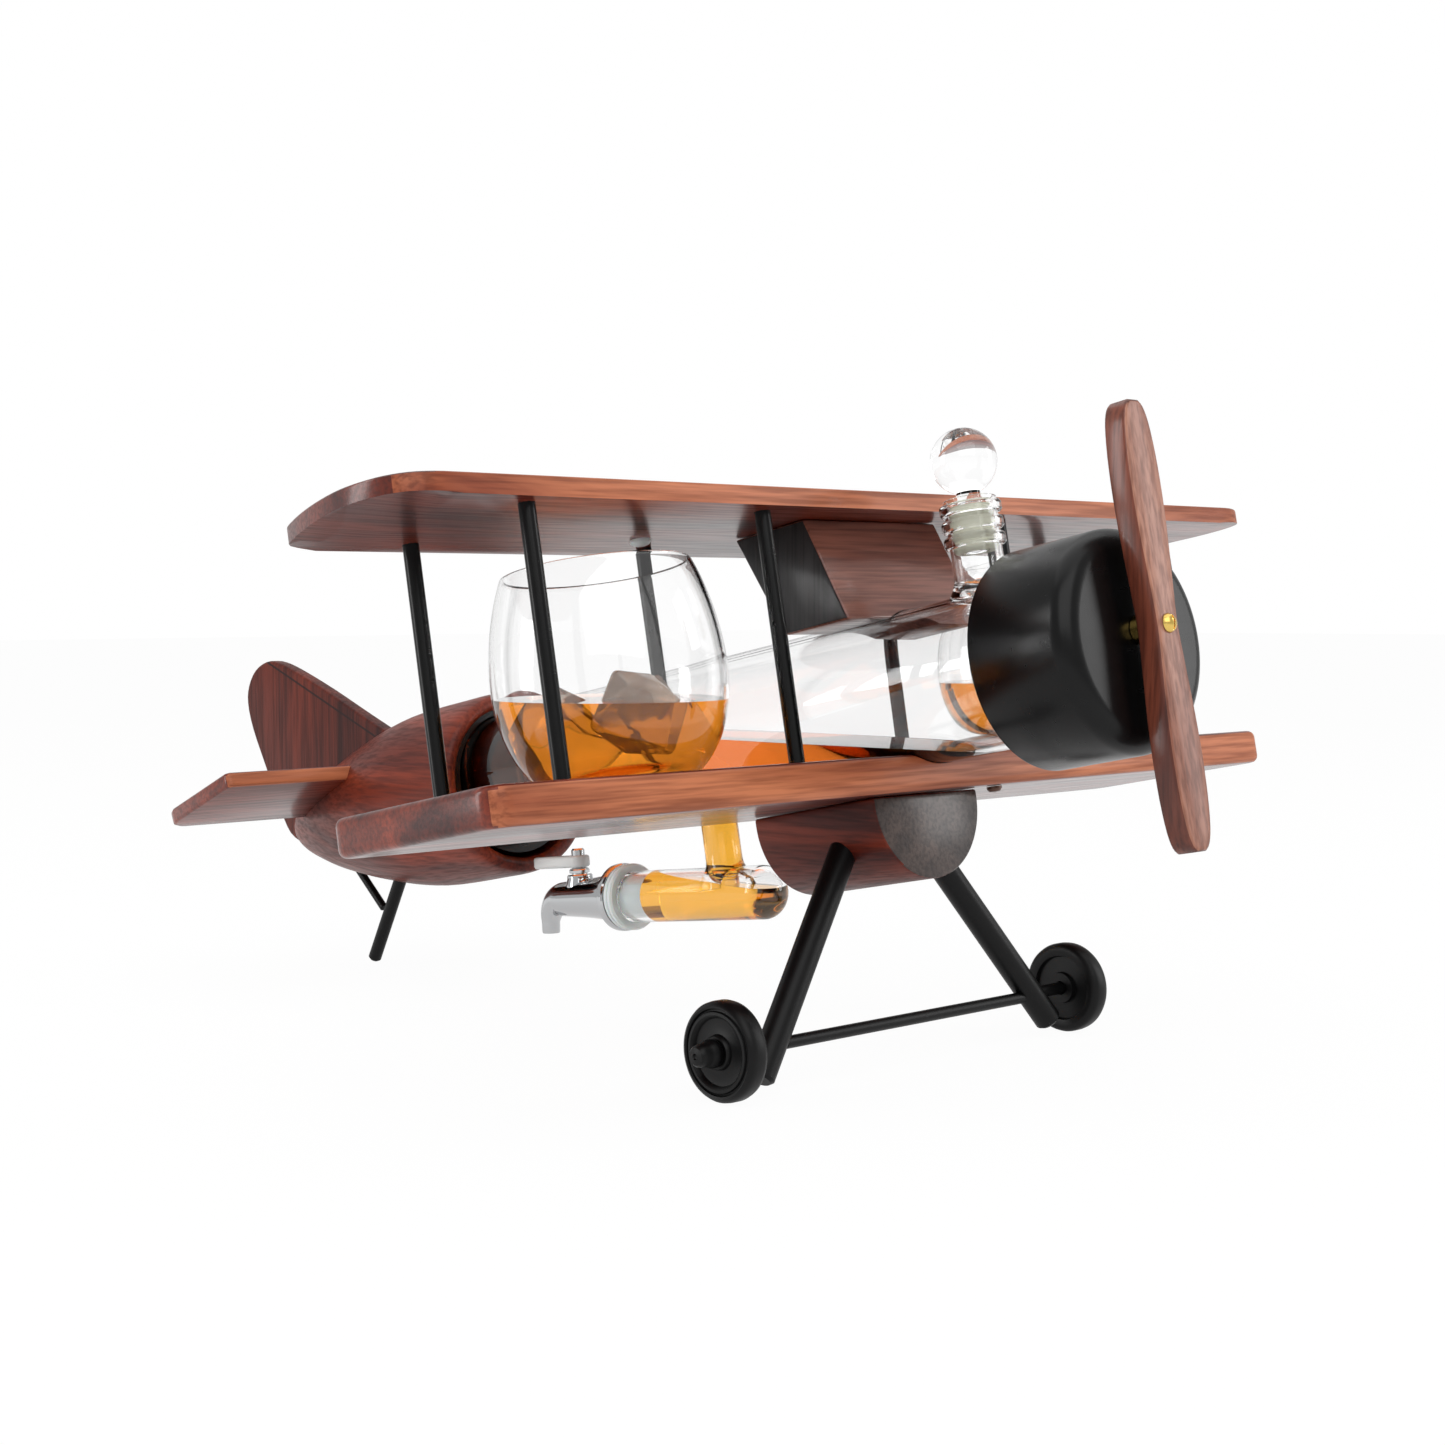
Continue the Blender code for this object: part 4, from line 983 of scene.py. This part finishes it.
# %% Spindle and lever
spindle = [
    (0, 0.004), (0.0036, 0.004), (0.0036, 0.0114), (0.0046, 0.0116), (0.0047, 0.0128), (0.0040, 0.0137),
    (0.0030, 0.0139),
]
spindle += [(0.0030, 0.0218), (0.0024, 0.0226), (0, 0.0226)]
piece("tap_stem", put(turned(spindle, 40), tower_at, LEVEL), CHROME, ["tap_spindle"], "tap_handle")
lever = arc((0, 0), 0.0050, 180, 360, 14) + arc((0, 0.026), 0.0038, 0, 180, 12)
lever = ease(prism(lever, 0.0141, 0.0195), 0.0014, 4, 50)
hole = put(rod(0.0033, 0.02, 32), (0, 0, 0.008))
piece(
    "tap_handle_lever", put(combine(lever, [("DIFFERENCE", hole)]), tower_at, LEVEL), PLASTIC,
    ["tap_lever"], "tap_handle",
)
print("tap face", round(FACE, 4))

# %% [markdown]
# The tumblers, each with drink level to the floor and a few worn ice cubes.

# %% Tumblers
def cup_outside():
    spots = [
        (0.56, 0.0), (0.62, 0.006), (0.68, 0.028), (0.80, 0.100), (0.905, 0.205), (0.975, 0.340),
        (1.0, 0.470),
    ]
    spots += [(0.990, 0.600), (0.950, 0.750), (0.885, 0.890), (0.815, 0.994)]
    return [(r * CUP_R, h * CUP_H) for r, h in smooth_profile(spots, 5)]


def cup_inside(grow=0.0):
    spots = [
        (0.0, 0.085), (0.30, 0.086), (0.56, 0.098), (0.74, 0.140), (0.865, 0.220), (0.938, 0.345),
        (0.963, 0.470),
    ]
    spots += [(0.953, 0.600), (0.913, 0.750), (0.848, 0.890), (0.780, 0.994)]
    shape = smooth_profile(spots, 5)
    return [
        (max(r, 0) * CUP_R + (grow if r > 0.01 else 0), h * CUP_H - (grow if r < 0.5 else 0)) for r, h in shape
    ]


def cup():
    inside = cup_inside()
    rim = [(0.8055 * CUP_R, 1.0 * CUP_H), (0.7895 * CUP_R, 1.0 * CUP_H)]
    return turned(
        [(0, 0.0012), (0.48 * CUP_R, 0.0012), (0.54 * CUP_R, 0.0003)] + cup_outside() + rim + inside[:0:-1] + [(0, inside[0][1])],
        96,
    )


print("tumbler profiles ready")

# %% [markdown]
# Ice melts first at its corners, so each cube is pushed out of true and well rounded.

# %% Ice
def ice_cube(size, at, turn):
    bm = bmesh.new()
    bmesh.ops.create_cube(
        bm, size=1,
        matrix=Matrix.Translation(at) @ turn.to_matrix().to_4x4() @ Matrix.Diagonal((*size, 1)),
    )
    for vert in bm.verts:
        vert.co += Vector((sin(vert.co.x * 900), sin(vert.co.y * 700 + 1), sin(vert.co.z * 800 + 2))) * 0.0012
    return ease(bm, 0.0024, 3)


CUBES = [
    ((0.024, 0.022, 0.021), (0.012, 0.010, 0.020), Euler((0.5, 0.6, 0.2))),
    ((0.022, 0.024, 0.020), (-0.014, -0.006, 0.021), Euler((1.1, 0.2, 0.9))),
    ((0.021, 0.020, 0.022), (0.004, -0.017, 0.024), Euler((0.2, 1.0, 1.7))),
]
for name, side in SIDES:
    at = (side * CUP_AT[0], CUP_AT[1], 0.0003)
    piece(
        f"cup_glass_{name}", put(cup(), at), GLASS, [f"tumbler_{name}"], f"tumbler_{name}",
        angle=50,
    )
    fill = cut_level(put(turned(cup_inside(0.00015) + [(0, 0.994 * CUP_H)], 88), at), 0.1452)
    piece(f"cup_drink_{name}", fill, DRINK, [], f"tumbler_{name}", angle=50)
    for i, (size, spot, turn) in enumerate(CUBES):
        cube = put(ice_cube(size, (side * spot[0], spot[1], spot[2]), turn), at)
        piece(f"ice_{name}_{i}", cube, ICE, [], f"tumbler_{name}", angle=40)
print("tumblers")

# %% [markdown]
# Floor, light and camera: a white sweep that goes on to a white sky, two big soft lamps and the sky's
# own plain light.

# %% Stage
def white_for_camera(tree, glossy):
    """White where the camera, glass or metal looks straight at it, and plain where it only lights."""
    path = tree.nodes.new("ShaderNodeLightPath")
    seen = Maths(tree, path.outputs["Is Camera Ray"]).maths(
        "MAXIMUM", Maths(tree, path.outputs["Is Transmission Ray"]),
    )
    return seen.maths("MAXIMUM", Maths(tree, path.outputs["Is Glossy Ray"]) * glossy)


world = bpy.data.worlds.new("studio")
bpy.context.scene.world = world
world.use_nodes = True
tree = world.node_tree
sky = tree.nodes["Background"]
sky.inputs["Color"].default_value = (1, 1, 1, 1)
seen = white_for_camera(tree, 0.2)
tree.links.new((seen * 0.45 + 0.55).socket, sky.inputs["Strength"])

print("sky ready")

# %% [markdown]
# The floor is matt and nearly white, so that it keeps a faint shadow.

# %% Floor
floor_bm = bmesh.new()
bmesh.ops.create_grid(floor_bm, x_segments=1, y_segments=1, size=12)
floor = plain_object(floor_bm, "floor")
floor.location = (0, 0, -0.0002)
floor_look = bpy.data.materials.new("white_floor")
floor_look.use_nodes = True
tree = floor_look.node_tree
base = tree.nodes["Principled BSDF"]
base.inputs["Base Color"].default_value = (0.96, 0.96, 0.96, 1)
base.inputs["Roughness"].default_value = 0.9
base.inputs["Specular IOR Level"].default_value = 0.0
glow = tree.nodes.new("ShaderNodeEmission")
glow.inputs["Strength"].default_value = 1.0
both = tree.nodes.new("ShaderNodeMixShader")
share_of = white_for_camera(tree, 0.6) * 0.96
tree.links.new(share_of.socket, both.inputs[0])
tree.links.new(base.outputs[0], both.inputs[1])
tree.links.new(glow.outputs[0], both.inputs[2])
tree.links.new(both.outputs[0], tree.nodes["Material Output"].inputs["Surface"])
floor.data.materials.append(floor_look)


print("floor ready")

# %% [markdown]
# Big soft lamps give long, gentle highlights on lacquer and glass.

# %% Lamps
def lamp(name, at, target, size, power):
    data = bpy.data.lights.new(name, "AREA")
    data.shape = "RECTANGLE"
    data.size = size[0]
    data.size_y = size[1]
    data.energy = power
    made = bpy.data.objects.new(name, data)
    made.location = at
    made.rotation_euler = (Vector(target) - Vector(at)).to_track_quat("-Z", "Y").to_euler()
    bpy.context.scene.collection.objects.link(made)


lamp("key", (-0.9, -1.3, 1.5), (0, 0, 0.12), (2.0, 1.6), 16)
lamp("top", (0.2, 0.1, 1.7), (0, 0, 0.1), (2.2, 1.8), 10)
lamp("side", (1.4, -1.2, 0.7), (0, 0, 0.12), (0.5, 1.1), 7)
lamp("rim", (-1.3, 0.75, 0.5), (0, -0.1, 0.14), (0.4, 1.0), 7)

print("lamps ready")

# %% [markdown]
# The camera stands at wing height, ahead of the plane and to its right.

# %% Camera
camera_data = bpy.data.cameras.new("camera")
camera_data.lens = 57.36
camera_data.sensor_width = 36
camera = bpy.data.objects.new("camera", camera_data)
camera.location = (-0.6684, -0.7566, 0.1779)
camera.rotation_euler = (radians(87.137), radians(0.224), radians(-43.854))
bpy.context.scene.collection.objects.link(camera)
bpy.context.scene.camera = camera
bpy.context.scene.view_settings.view_transform = "Standard"
print("stage ready")
